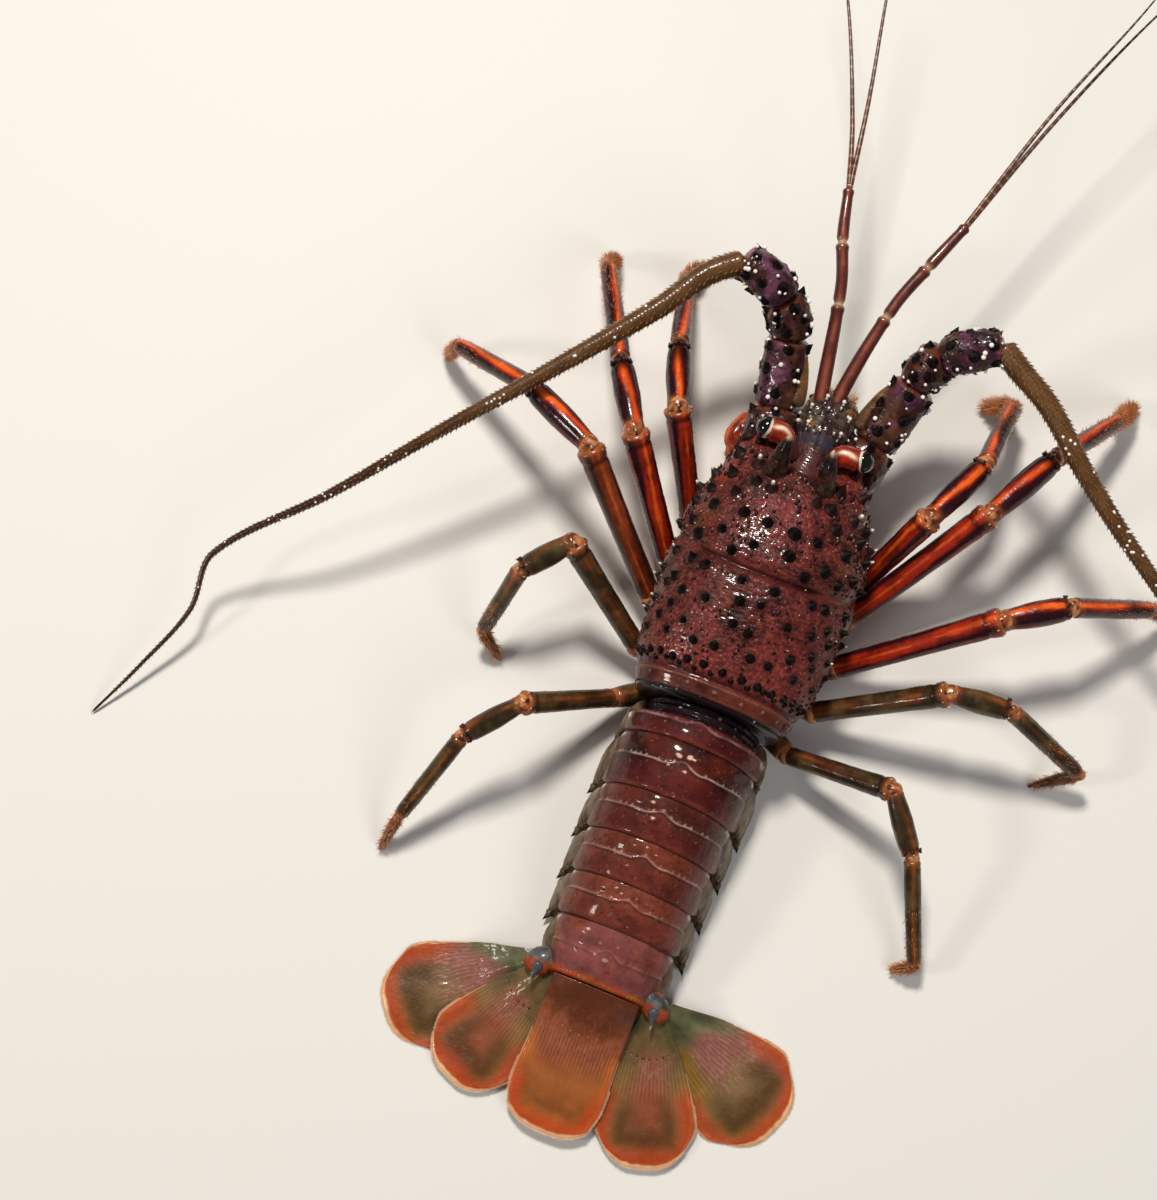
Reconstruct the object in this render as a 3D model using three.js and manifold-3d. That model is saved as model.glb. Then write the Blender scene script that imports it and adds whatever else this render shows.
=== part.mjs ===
// A spiny lobster lying on its belly, life size, in millimetres.
// +Z is up, +Y points to the head and +X to the animal's right.
// The origin is on the floor, under the middle of the thorax.
import * as THREE from 'three';
import { mergeVertices } from 'three/addons/utils/BufferGeometryUtils.js';
import Module from 'manifold-3d';

const wasm = await Module();
wasm.setup();

// Driving dimensions of the whole animal

const GAP = 0.3;
const HALO = 0.42;
const SPINE_SEED = 11;
const SPIKE_SIDES = 4;
const LIMB_SIDES = 6;

// The back bends a little to the left: [place along the body, sideways shift]
const MIDLINE = [[-148, -1.8], [-110, -2.3], [-78, -2], [-44, -1], [0, -0.3], [30, -0.5], [54, -1]];

const CARAPACE = {
  front: 54,
  lowerEdge: 12,
  widestHeight: 29,
  squareness: 0.9,
  edgeAngle: 118,
  edgeTuck: 0.13,
  halfWidth: [[-44, 27.5], [-30, 32.5], [-10, 34.8], [8, 35.2], [25, 33.5], [42, 28.5], [54, 24.5]],
  top: [[-44, 45.5], [-30, 51.5], [-10, 56.5], [5, 58], [25, 57], [42, 52.5], [54, 46]],
  ringsAt: [
    -44, -38.5, -36, -33.5, -26, -17, -8, -1, 3.5, 8, 16, 26, 36, 45, 51, 54,
  ],
  ringPoints: 21,
};
const CERVICAL_GROOVE = { y: 3.5, depth: 2.2, width: 3, bow: 11, bowReach: 22 };
const MARGIN_GROOVE = { y: -36, depth: 1.4, width: 1.7 };
const FRONT_NOTCH = { depth: 6, halfAngle: 30, startsAt: 32 };
const FRONT_LOBE = { reach: 4, angle: 58, halfAngle: 20, startsAt: 30 };

const HORN = {
  spread: 9.5,
  path: [[41, 46.5], [46, 53], [50, 58.5], [53, 63]],
  radius: [5.4, 4.4, 2.9, 0.5],
};
const STERNUM = {
  height: CARAPACE.lowerEdge - GAP,
  halfWidth: [[-43.7, 17], [-20, 15.5], [0, 13], [20, 10.5], [36, 9], [50, 6.5]],
  ringsAt: [-43.7, -20, 0, 20, 38, 50],
};

const ABDOMEN = {
  joints: [-44.3, -58, -78, -94.5, -110.5, -126, -147.5],
  halfWidth: [
    [-44, 25], [-60, 26.5], [-78, 25.5], [-95, 24.5], [-110, 23.7], [-126, 23], [-137, 22.3], [-148, 19],
  ],
  top: [[-44, 42.5], [-60, 44.5], [-78, 43.5], [-94, 41], [-110, 37.5], [-126, 33], [-148, 23.5]],
  bottom: 7,
  squareness: 0.88,
  archPoints: 15,
};
const TERGITE_PROFILE = [
  [0, -2], [0.12, -0.2], [0.36, 0], [0.43, -1.1], [0.5, 0.2], [1, 0.5],
];
// The first tergite rises from a bare membrane behind the carapace
const FIRST_TERGITE_PROFILE = [
  [0, -3.2], [0.44, -2.6], [0.52, 0.2], [0.78, 0.5], [1, 0.2],
];
const PLEURON = { thickness: 1.8, topShare: 0.4, tip: 1.8, flare: 5.8, inset: 3 };

// Small tools for smooth curves and closed solids

const at = (x, y, z) => new THREE.Vector3(x, y, z);
const UP = at(0, 0, 1);
const AHEAD = at(0, 1, 0);
const radians = THREE.MathUtils.degToRad;
const bump = (value) => Math.exp(-value * value);

function smoothStep(from, to, value) {
  const t = THREE.MathUtils.clamp((value - from) / (to - from), 0, 1);
  return t * t * (3 - 2 * t);
}

// The value of a smooth curve through a few [place, value] stations
function along(stations, place) {
  const last = stations.length - 1;
  const rising = stations[0][0] < stations[last][0];
  const list = rising ? stations : [...stations].reverse();
  if (place <= list[0][0]) return list[0][1];
  if (place >= list[last][0]) return list[last][1];
  let i = 0;
  while (list[i + 1][0] < place) i += 1;
  const slope = (k) => {
    const before = list[Math.max(k - 1, 0)];
    const after = list[Math.min(k + 1, last)];
    return (after[1] - before[1]) / (after[0] - before[0]);
  };
  const span = list[i + 1][0] - list[i][0];
  const t = (place - list[i][0]) / span;
  const blend = t * t * (3 - 2 * t);
  const pull = t * (1 - t) * ((1 - t) * slope(i) - t * slope(i + 1));
  return list[i][1] * (1 - blend) + list[i + 1][1] * blend + span * pull;
}

const midline = (y) => along(MIDLINE, y);

// Repeatable random numbers from 0 to 1
function seeded(seed) {
  let state = seed;
  return () => {
    state = (state + 0x6d2b79f5) | 0;
    let t = Math.imul(state ^ (state >>> 15), 1 | state);
    t = (t + Math.imul(t ^ (t >>> 7), 61 | t)) ^ t;
    return ((t ^ (t >>> 14)) >>> 0) / 4294967296;
  };
}

function solidFrom(points, faces) {
  const vertProperties = Float32Array.from(points.flatMap((p) => [p.x, p.y, p.z]));
  const build = (triangles) => {
    const triVerts = Uint32Array.from(triangles.flat());
    return new wasm.Manifold(new wasm.Mesh({ numProp: 3, vertProperties, triVerts }));
  };
  const solid = build(faces);
  return solid.volume() > 0 ? solid : build(faces.map(([a, b, c]) => [a, c, b]));
}

function solidFromGeometry(geometry) {
  geometry.deleteAttribute('normal');
  geometry.deleteAttribute('uv');
  const merged = mergeVertices(geometry);
  const position = merged.getAttribute('position');
  const point = (_, i) => at(0, 0, 0).fromBufferAttribute(position, i);
  const points = Array.from({ length: position.count }, point);
  const index = Array.from(merged.getIndex().array);
  const faces = Array.from({ length: index.length / 3 }, (_, i) => index.slice(3 * i, 3 * i + 3));
  return solidFrom(points, faces);
}

const joined = (solids) => solids.reduce((whole, solid) => whole.add(solid));

function largest(solid) {
  return solid.decompose().reduce((best, piece) => (piece.volume() > best.volume() ? piece : best));
}

// A copy of a solid that reaches a little further on every side
function halo(solid, reach = HALO) {
  const { vertProperties, triVerts } = solid.getMesh();
  const count = vertProperties.length / 3;
  const points = Array.from({ length: count }, (_, i) => at(0, 0, 0).fromArray(vertProperties, 3 * i));
  const normals = points.map(() => at(0, 0, 0));
  const faces = [];
  for (let i = 0; i < triVerts.length; i += 3) {
    const face = [triVerts[i], triVerts[i + 1], triVerts[i + 2]];
    const corners = face.map((k) => points[k]);
    const normal = new THREE.Triangle(...corners).getNormal(at(0, 0, 0));
    face.forEach((k, c) => {
      const one = corners[(c + 1) % 3].clone().sub(corners[c]);
      const other = corners[(c + 2) % 3].clone().sub(corners[c]);
      normals[k].addScaledVector(normal, one.angleTo(other));
    });
    faces.push(face);
  }
  return solidFrom(points.map((p, i) => p.clone().addScaledVector(normals[i].normalize(), reach)), faces);
}

// A node keeps the plain pieces that it is fused from, for its neighbours to stand clear of
const fused = (...pieces) => ({ solid: largest(joined(pieces)), pieces });
const halos = new Map();

function haloOf(node) {
  if (!halos.has(node.pieces)) halos.set(node.pieces, joined(node.pieces.map((piece) => halo(piece))));
  return halos.get(node.pieces);
}

// What is left of a node beside its neighbours, a small gap away from them
function clearOf(node, ...neighbours) {
  const rest = neighbours.reduce((left, neighbour) => left.subtract(haloOf(neighbour)), node.solid);
  return { solid: largest(rest), pieces: node.pieces };
}

// A closed skin over rings that all have the same number of points
function loft(rings) {
  const count = rings[0].length;
  const points = rings.flat();
  const faces = [];
  for (let r = 0; r + 1 < rings.length; r += 1) {
    for (let i = 0; i < count; i += 1) {
      const a = r * count + i;
      const b = r * count + ((i + 1) % count);
      faces.push([a, b, b + count], [a, b + count, a + count]);
    }
  }
  const cap = (ring, start, flip) => {
    const centre = ring.reduce((sum, p) => sum.add(p), at(0, 0, 0)).divideScalar(count);
    points.push(centre);
    for (let i = 0; i < count; i += 1) {
      const a = start + i;
      const b = start + ((i + 1) % count);
      faces.push(flip ? [points.length - 1, b, a] : [points.length - 1, a, b]);
    }
  };
  cap(rings[0], 0, true);
  cap(rings[rings.length - 1], (rings.length - 1) * count, false);
  return solidFrom(points, faces);
}

function ring(centre, forward, width, height, sides) {
  const reference = Math.abs(forward.z) > 0.93 ? AHEAD : UP;
  const side = at(0, 0, 0).crossVectors(forward, reference).normalize();
  const lift = at(0, 0, 0).crossVectors(side, forward).normalize();
  return Array.from({ length: sides }, (_, i) => {
    const angle = (2 * Math.PI * (i + 0.5)) / sides;
    const across = centre.clone().addScaledVector(side, width * Math.cos(angle));
    return across.addScaledVector(lift, height * Math.sin(angle));
  });
}

// A round or oval rod through stations of { p, w, h }
function rod(stations, sides) {
  const rings = stations.map(({ p, w, h = w }, i) => {
    const before = stations[Math.max(i - 1, 0)].p;
    const after = stations[Math.min(i + 1, stations.length - 1)].p;
    return ring(p, after.clone().sub(before).normalize(), w, h, sides);
  });
  return loft(rings);
}

// One straight limb segment with its girth given at shares of its length
function limbSegment(from, to, girth, sides) {
  return rod(girth.map(([share, w]) => ({ p: from.clone().lerp(to, share), w })), sides);
}

// A pointed spine whose root sinks into what carries it
function spike(base, direction, length, radius) {
  const sides = SPIKE_SIDES;
  const root = base.clone().addScaledVector(direction, -1.1 * radius);
  const foot = ring(root, direction, radius, radius, sides);
  const points = [...foot, base.clone().addScaledVector(direction, length)];
  const faces = foot.map((_, i) => [i, (i + 1) % sides, sides]);
  for (let i = 1; i + 1 < sides; i += 1) faces.push([0, i + 1, i]);
  return solidFrom(points, faces);
}

// A sheet between two like faces, whose triangles lie alike on both
function slab(outline, place) {
  const triangles = THREE.ShapeUtils.triangulateShape(outline, []);
  const count = outline.length;
  const points = [1, -1].flatMap((side) => outline.map((p) => place(p.x, p.y, side)));
  const faces = triangles.flatMap(([a, b, c]) => [[a, b, c], [a + count, c + count, b + count]]);
  const clockwise = THREE.ShapeUtils.isClockWise(outline);
  for (let i = 0; i < count; i += 1) {
    const j = (i + 1) % count;
    const [a, b] = clockwise ? [j, i] : [i, j];
    faces.push([a, a + count, b], [b, a + count, b + count]);
  }
  return solidFrom(points, faces);
}

// A thin vane over a grid of places, thick from its underside to its top
function vane(rows, columns, place) {
  const points = [];
  for (const side of [0, 1]) {
    for (let r = 0; r <= rows; r += 1) {
      for (let c = 0; c <= columns; c += 1) points.push(place(r / rows, (2 * c) / columns - 1, side, c));
    }
  }
  const layer = (rows + 1) * (columns + 1);
  const index = (r, c) => r * (columns + 1) + c;
  const faces = [];
  for (let r = 0; r < rows; r += 1) {
    for (let c = 0; c < columns; c += 1) {
      const quad = [index(r, c), index(r, c + 1), index(r + 1, c + 1), index(r + 1, c)];
      faces.push([quad[0], quad[1], quad[2]], [quad[0], quad[2], quad[3]]);
      const upper = quad.map((k) => k + layer);
      faces.push([upper[0], upper[2], upper[1]], [upper[0], upper[3], upper[2]]);
    }
  }
  const rim = [];
  for (let c = 0; c < columns; c += 1) rim.push(index(0, c));
  for (let r = 0; r < rows; r += 1) rim.push(index(r, columns));
  for (let c = columns; c > 0; c -= 1) rim.push(index(rows, c));
  for (let r = rows; r > 0; r -= 1) rim.push(index(r, 0));
  rim.forEach((a, i) => {
    const b = rim[(i + 1) % rim.length];
    faces.push([a, b + layer, b], [a, a + layer, b + layer]);
  });
  return solidFrom(points, faces);
}

const belowFloor = solidFromGeometry(new THREE.BoxGeometry(1200, 1200, 60).translate(0, 0, -30));
const aboveFloor = ({ solid, pieces }) => ({ solid: largest(solid.subtract(belowFloor)), pieces });

// Carapace: a deep arch with a cervical groove, a rear margin groove, horns and spines

function carapacePoint(station, angle) {
  const bow = CERVICAL_GROOVE.bow * (Math.abs(angle) / 90) ** 2;
  const bowed = bow * bump((station - CERVICAL_GROOVE.y) / CERVICAL_GROOVE.bowReach);
  const notch = FRONT_NOTCH.depth * bump(angle / FRONT_NOTCH.halfAngle);
  const notched = notch * smoothStep(FRONT_NOTCH.startsAt, CARAPACE.front, station);
  const lobe = FRONT_LOBE.reach * bump((Math.abs(angle) - FRONT_LOBE.angle) / FRONT_LOBE.halfAngle);
  const lobed = lobe * smoothStep(FRONT_LOBE.startsAt, CARAPACE.front, station);
  const cervical = CERVICAL_GROOVE.depth * bump((station - CERVICAL_GROOVE.y) / CERVICAL_GROOVE.width);
  const margin = MARGIN_GROOVE.depth * bump((station - MARGIN_GROOVE.y) / MARGIN_GROOVE.width);
  const sunk = cervical * smoothStep(112, 80, Math.abs(angle)) + margin;
  const half = along(CARAPACE.halfWidth, station) - sunk;
  const rise = along(CARAPACE.top, station) - sunk - CARAPACE.widestHeight;
  const drop = Math.max(Math.abs(angle) - 90, 0) / (CARAPACE.edgeAngle - 90);
  const turn = radians(Math.min(Math.abs(angle), 90));
  const out = Math.sin(turn) ** CARAPACE.squareness * (1 - CARAPACE.edgeTuck * drop * drop);
  const lift = Math.max(Math.cos(turn), 0) ** CARAPACE.squareness;
  const below = (CARAPACE.widestHeight - CARAPACE.lowerEdge) * drop;
  const z = CARAPACE.widestHeight + rise * lift - below;
  const y = station + bowed - notched + lobed;
  return at(midline(station) + Math.sign(angle) * half * out, y, z);
}

function carapaceNormal(station, angle) {
  const ahead = carapacePoint(station + 0.5, angle).sub(carapacePoint(station - 0.5, angle));
  const around = carapacePoint(station, angle + 1).sub(carapacePoint(station, angle - 1));
  return ahead.cross(around).normalize().negate();
}

function carapaceShell() {
  const { ringsAt, ringPoints, edgeAngle } = CARAPACE;
  return loft(ringsAt.map((station) => Array.from({ length: ringPoints }, (_, i) => (
    carapacePoint(station, edgeAngle * ((2 * i) / (ringPoints - 1) - 1))
  ))));
}

function horn(side) {
  const stations = HORN.path.map(([y, z], i) => ({
    p: at(midline(y) + side * HORN.spread * (1 - 0.05 * i), y, z),
    w: HORN.radius[i] * 0.9,
    h: HORN.radius[i],
  }));
  return rod(stations, 6);
}

// Rows of forward spines: [station, turns from the midline to either side]
const SPINE_ROWS = [
  [-25, [9, 22, 44, 66]],
  [-20.5, [34, 54, 78]],
  [-16.5, [5, 48, 68]],
  [-11, [23, 42, 60, 84]],
  [-7.5, [5, 52, 72]],
  [-1, [8, 31, 44, 64]],
  [8.5, [20, 45, 74]],
  [13, [8, 32, 58]],
  [22, [7, 21, 45, 68]],
  [29, [33, 56, 80]],
  [36, [13, 25, 46, 68]],
  [45, [32, 56]],
];

function carapaceSpines() {
  const random = seeded(SPINE_SEED);
  const spines = [];
  for (const [station, turns] of SPINE_ROWS) {
    for (const turn of turns.flatMap((angle) => [-angle, angle])) {
      const place = station + 1.6 * (random() - 0.5);
      const leaning = turn + 3 * (random() - 0.5);
      const ahead = smoothStep(-30, 45, place);
      const length = (3 + 2.4 * ahead) * (0.85 + 0.3 * random());
      const direction = carapaceNormal(place, leaning).multiplyScalar(0.62).add(AHEAD).normalize();
      spines.push(spike(carapacePoint(place, leaning), direction, length, 1 + 0.45 * ahead));
    }
  }
  return spines;
}

// A close row of small spines stands before the rear margin
function rearMarginSpines() {
  const spines = [];
  for (let turn = -77; turn <= 77; turn += 11) {
    const direction = carapaceNormal(-32.5, turn).multiplyScalar(0.7).add(AHEAD).normalize();
    spines.push(spike(carapacePoint(-32.5, turn), direction, 2.2, 0.85));
  }
  return spines;
}

// Strong spines stand at the front corners and along the front margin
function frontMarginSpines() {
  const corners = [[62, 8.5, 2.2], [84, 5, 1.5], [44, 4.5, 1.4]];
  return corners.flatMap(([turn, length, radius]) => [-1, 1].map((side) => {
    const outward = at(0.25 * side, 1, 0.12).normalize();
    return spike(carapacePoint(52, side * turn), outward, length, radius);
  }));
}

const carapace = fused(
  carapaceShell(),
  horn(-1),
  horn(1),
  ...carapaceSpines(),
  ...rearMarginSpines(),
  ...frontMarginSpines(),
);

// Underside of the thorax: the flat plate on which the animal rests

const thoraxUnderside = fused(loft(STERNUM.ringsAt.map((y) => {
  const half = along(STERNUM.halfWidth, y);
  const top = STERNUM.height;
  return [[-0.75, 0], [0.75, 0], [1, 3], [1, 8.5], [0.85, top], [-0.85, top], [-1, 8.5], [-1, 3]]
    .map(([share, z]) => at(share * half, y, z));
})));

// Abdomen: six ring-like segments with toothed side plates

function abdomenRing(y, grow) {
  const half = along(ABDOMEN.halfWidth, y) + grow;
  const rise = along(ABDOMEN.top, y) + grow - ABDOMEN.bottom;
  return Array.from({ length: ABDOMEN.archPoints }, (_, i) => {
    const turn = Math.PI * (i / (ABDOMEN.archPoints - 1) - 0.5);
    const out = Math.sign(turn) * Math.abs(Math.sin(turn)) ** ABDOMEN.squareness;
    const lift = Math.max(Math.cos(turn), 0) ** ABDOMEN.squareness;
    return at(midline(y) + half * out, y, ABDOMEN.bottom + rise * lift);
  });
}

function pleuron(front, rear, side, size) {
  const long = front - rear;
  const { topShare, tip } = PLEURON;
  const top = THREE.MathUtils.lerp(ABDOMEN.bottom, along(ABDOMEN.top, front), topShare);
  const deep = (share) => top - (top - tip) * share * size;
  const outline = [
    [0.12 * long, top], [0.14 * long, deep(0.5)], [0.36 * long, deep(0.82)],
    [0.72 * long, deep(0.96)], [long + 3.6, deep(1)], [0.98 * long, deep(0.8)],
    [long + 2.4, deep(0.74)], [0.94 * long, deep(0.6)], [long + 1.4, deep(0.52)],
    [0.9 * long, deep(0.4)], [0.9 * long, top],
  ].map(([u, z]) => new THREE.Vector2(u, z));
  return slab(outline, (u, z, face) => {
    const y = front - u;
    const spread = PLEURON.flare * ((top - z) / (top - tip)) - PLEURON.inset;
    const x = along(ABDOMEN.halfWidth, y) + spread + (face * PLEURON.thickness) / 2;
    return at(midline(y) + side * x, y, z);
  });
}

function swimmeret(y, side) {
  const middle = midline(y);
  const stations = [
    { p: at(middle + side * 8, y, 8), w: 2.5, h: 1 },
    { p: at(middle + side * 12, y - 6, 5), w: 4.6, h: 0.9 },
    { p: at(middle + side * 15.5, y - 12, 2.8), w: 1.6, h: 0.5 },
  ];
  return rod(stations, 6);
}

function abdomenSegment(number) {
  const front = ABDOMEN.joints[number - 1];
  const rear = ABDOMEN.joints[number] + GAP;
  const profile = number === 1 ? FIRST_TERGITE_PROFILE : TERGITE_PROFILE;
  const body = loft(profile.map(([share, grow]) => (
    abdomenRing(front + (rear - front) * share, grow)
  )));
  const size = [0.55, 0.96, 1, 1, 0.98, 0.7][number - 1];
  const pieces = [body, pleuron(front, rear, -1, size), pleuron(front, rear, 1, size)];
  if (number > 1 && number < 6) {
    pieces.push(swimmeret(front - 4, -1), swimmeret(front - 4, 1));
  }
  return fused(...pieces);
}

const abdomen = [];
for (let number = 1; number <= 6; number += 1) {
  const before = abdomen.slice(-1);
  abdomen.push(clearOf(abdomenSegment(number), ...before));
}
const lastSegment = abdomen[5];

// Tail fan: five vanes with fine rays, the telson over the inner pair over the outer pair

const BLADES = {
  telson: {
    root: [-1.4, -147.9], heading: 180, length: 53.2, rootHalf: 16.5, waist: 0.96, half: 17.6, endHalf: 16,
    round: 0.1, under: [[0, 9], [0.35, 6.2], [0.75, 4.6], [1, 4.4]],
    thick: [[0, 13], [0.12, 9], [0.4, 3.6], [0.75, 1.7], [1, 1.1]],
  },
  right_inner: {
    root: [20, -147.5], heading: 162.5, length: 54.5, rootHalf: 4, waist: 0.7, half: 18.3, endHalf: 15.5,
    round: 0.14, under: [[0, 10], [0.3, 5], [0.6, 2.6], [1, 2.4]],
    thick: [[0, 4], [0.3, 2], [1, 1]],
  },
  left_inner: {
    root: [-20, -147], heading: -157.5, length: 52.5, rootHalf: 4, waist: 0.7, half: 17.4, endHalf: 15,
    round: 0.14, under: [[0, 10], [0.3, 5], [0.6, 2.6], [1, 2.4]],
    thick: [[0, 4], [0.3, 2], [1, 1]],
  },
  right_outer: {
    root: [23.5, -146], heading: 112.5, length: 57, rootHalf: 4.5, waist: 0.7, half: 21, endHalf: 17,
    round: 0.14, under: [[0, 8], [0.3, 2.2], [0.6, 0], [1, 0]],
    thick: [[0, 5], [0.3, 2], [1, 1.1]],
  },
  left_outer: {
    root: [-25, -146], heading: -129, length: 58, rootHalf: 4.5, waist: 0.7, half: 19.8, endHalf: 16,
    round: 0.14, under: [[0, 8], [0.3, 2.2], [0.6, 0], [1, 0]],
    thick: [[0, 5], [0.3, 2], [1, 1.1]],
  },
};
const BLADE_ROWS = 6;
const RAYS = 5;
const RAY_HEIGHT = 0.45;

function blade(spec) {
  const heading = radians(spec.heading);
  const forward = at(Math.sin(heading), Math.cos(heading), 0);
  const side = at(forward.y, -forward.x, 0);
  const waist = spec.waist * spec.half;
  const half = [[0, spec.rootHalf], [0.35, waist], [0.78, spec.half], [1, spec.endHalf]];
  return vane(BLADE_ROWS, 2 * RAYS, (share, across, isTop, column) => {
    const reach = spec.length * share * (1 - spec.round * Math.abs(across) ** 3 * share);
    const ray = column % 2 ? RAY_HEIGHT * smoothStep(0.05, 0.35, share) : 0;
    const lift = isTop ? along(spec.thick, share) + ray : 0;
    const centre = at(spec.root[0], spec.root[1], along(spec.under, share) + lift);
    const swell = isTop ? 1 - 0.12 * smoothStep(0.4, 0, share) : 1;
    return centre.addScaledVector(forward, reach).addScaledVector(side, across * along(half, share) * swell);
  });
}

// The short joint that carries a pair of vanes, with a blunt spine at its rear
function uropodJoint(side) {
  const middle = midline(-146);
  const stations = [
    { p: at(middle + side * 12, -140, 12), w: 3.5 },
    { p: at(middle + side * 17, -143, 13), w: 5.4 },
    { p: at(middle + side * 22.5, -146, 13), w: 5.6 },
    { p: at(middle + side * 27, -148.5, 12), w: 3.6 },
  ];
  const bluntSpine = spike(at(middle + side * 22, -148, 16), at(0.15 * side, -1, 0).normalize(), 6, 1.8);
  return [rod(stations, 8), bluntSpine];
}

const telson = clearOf(fused(blade(BLADES.telson)), lastSegment);
const outerVanes = {};
const innerVanes = {};
for (const [name, side] of Object.entries({ left: -1, right: 1 })) {
  const outer = fused(blade(BLADES[`${name}_outer`]), ...uropodJoint(side));
  const inner = fused(blade(BLADES[`${name}_inner`]));
  outerVanes[name] = aboveFloor(clearOf(outer, lastSegment, telson));
  innerVanes[name] = clearOf(inner, lastSegment, telson, outerVanes[name]);
}

// Head: antennular plate, eyes and the heavy spiny antenna stalks

const plateStations = [
  { p: at(0, 44, 38), w: 9, h: 11 },
  { p: at(0.5, 56, 38), w: 8.6, h: 9 },
  { p: at(0.8, 66, 37.5), w: 9.4, h: 7.5 },
  { p: at(1, 74, 37), w: 10, h: 6.5 },
  { p: at(1.2, 80, 36.5), w: 8.2, h: 5.2 },
  { p: at(1.3, 84, 36.5), w: 4.5, h: 3.4 },
];
function plateSpines() {
  const places = [[6, 64, 43], [7, 71, 41.5], [3, 76, 42.2]];
  return places.flatMap(([x, y, z]) => [-1, 1].map((side) => (
    spike(at(0.8 + side * x, y, z), at(0.1 * side, 0.8, 0.55).normalize(), 4, 1.1)
  )));
}
const antennularPlate = clearOf(fused(rod(plateStations, 10), ...plateSpines()), carapace);

function scatterSpikes(stations, rows, length, radius, seed) {
  const random = seeded(seed);
  const spikes = [];
  for (const [share, turns] of rows) {
    const place = share * (stations.length - 1);
    const i = Math.min(Math.floor(place), stations.length - 2);
    const t = place - i;
    const centre = stations[i].p.clone().lerp(stations[i + 1].p, t);
    const girth = THREE.MathUtils.lerp(stations[i].w, stations[i + 1].w, t);
    const forward = stations[i + 1].p.clone().sub(stations[i].p).normalize();
    const side = at(0, 0, 0).crossVectors(forward, UP).normalize();
    const lift = at(0, 0, 0).crossVectors(side, forward).normalize();
    for (const turn of turns) {
      const angle = radians(turn + 14 * (random() - 0.5));
      const out = side.clone().multiplyScalar(Math.cos(angle)).addScaledVector(lift, Math.sin(angle));
      const direction = out.clone().multiplyScalar(0.75).addScaledVector(forward, 0.75).normalize();
      const scale = 0.8 + 0.4 * random();
      const foot = centre.clone().addScaledVector(out, 0.95 * girth);
      spikes.push(spike(foot, direction, length * scale, radius));
    }
  }
  return spikes;
}

const ANTENNA_STALKS = {
  left: {
    base: [[-12.5, 43, 30, 8.5], [-15.5, 54, 31, 9.2], [-18, 65, 33, 9.6], [-19.3, 71, 34.5, 8.4]],
    segment_1: [[-19, 69, 34, 7.4], [-19.8, 76, 36.5, 8.3], [-22, 87, 42, 8], [-23.5, 94, 46.5, 7.4]],
    segment_2: [[-23.2, 92.5, 46, 6.6], [-24.6, 96.8, 50, 7.8], [-27, 100.2, 54, 7.8], [-30, 102, 57.5, 6.6]],
    segment_3: [[-28.5, 101.5, 57, 6], [-34, 104.3, 60, 7.6], [-41, 106.8, 62.5, 7.2], [-48.5, 107.8, 64.5, 5.6]],
    flap: [[-12.5, 72, 38, 3.4], [-13.2, 79, 40, 3], [-15.5, 87, 43, 2.4], [-18.5, 94, 46.5, 1]],
    whip: [
      [-47, 107.4, 64.3], [-58, 98, 63.8], [-69, 81, 62], [-95, 48, 58], [-123, 15, 52],
      [-155.5, -22, 40], [-189.5, -55, 24],
    ],
    whipTip: [[-189.5, -55, 24], [-190.5, -76, 16], [-201, -101, 8], [-212, -123, 0.9]],
  },
  right: {
    base: [[12.5, 43, 30, 8.5], [15.5, 54, 31, 9.2], [18, 65, 33, 9.6], [19.5, 71, 34.5, 8.6]],
    segment_1: [[19.2, 69, 34, 7.6], [20.5, 76, 36.5, 8.6], [24, 87, 42, 8.3], [26, 94, 46.5, 7.6]],
    segment_2: [[25.6, 92.5, 46, 6.6], [27, 97, 50, 7.8], [29.5, 100.5, 54, 7.8], [32, 103, 57.5, 6.6]],
    segment_3: [[30.5, 102, 57, 6], [36, 105, 60, 7.6], [43, 108.5, 62.5, 7.2], [50, 111.5, 64.5, 5.6]],
    flap: [[12.8, 72, 38, 3.4], [13.8, 79, 40, 3], [16.8, 87, 43, 2.4], [20.5, 94, 46.5, 1]],
    whip: [
      [48.6, 111, 64.3], [58, 105, 64], [71.6, 96.9, 63], [91.1, 79.9, 60], [107.2, 68, 56],
      [131.4, 52.1, 50], [168, 29, 38],
    ],
    whipTip: [[168, 29, 38], [199, 3, 26], [224, -26, 14], [241, -57, 5], [249, -84, 0.9]],
  },
};
const WHIP_RADIUS = [[0, 4.5], [30, 3.8], [120, 2.3], [220, 1.1], [292, 0.5]];

const stationsOf = (list) => list.map(([x, y, z, w]) => ({ p: at(x, y, z), w }));
const STALK_SPIKES = [[0.3, [25, 100, 170]], [0.55, [60, 135, 200]], [0.85, [15, 85, 150, 220]]];

// A tapering whip along a smooth curve, from one length to another
function whip(curve, from, to, start) {
  const length = curve.getLength();
  const steps = Math.max(3, Math.round((to - from) / 13));
  const stations = Array.from({ length: steps + 1 }, (_, i) => {
    const run = from + ((to - from) * i) / steps;
    return { p: curve.getPointAt(Math.min(run / length, 1)), w: along(WHIP_RADIUS, start + run) };
  });
  return fused(rod(stations, LIMB_SIDES));
}

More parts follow.
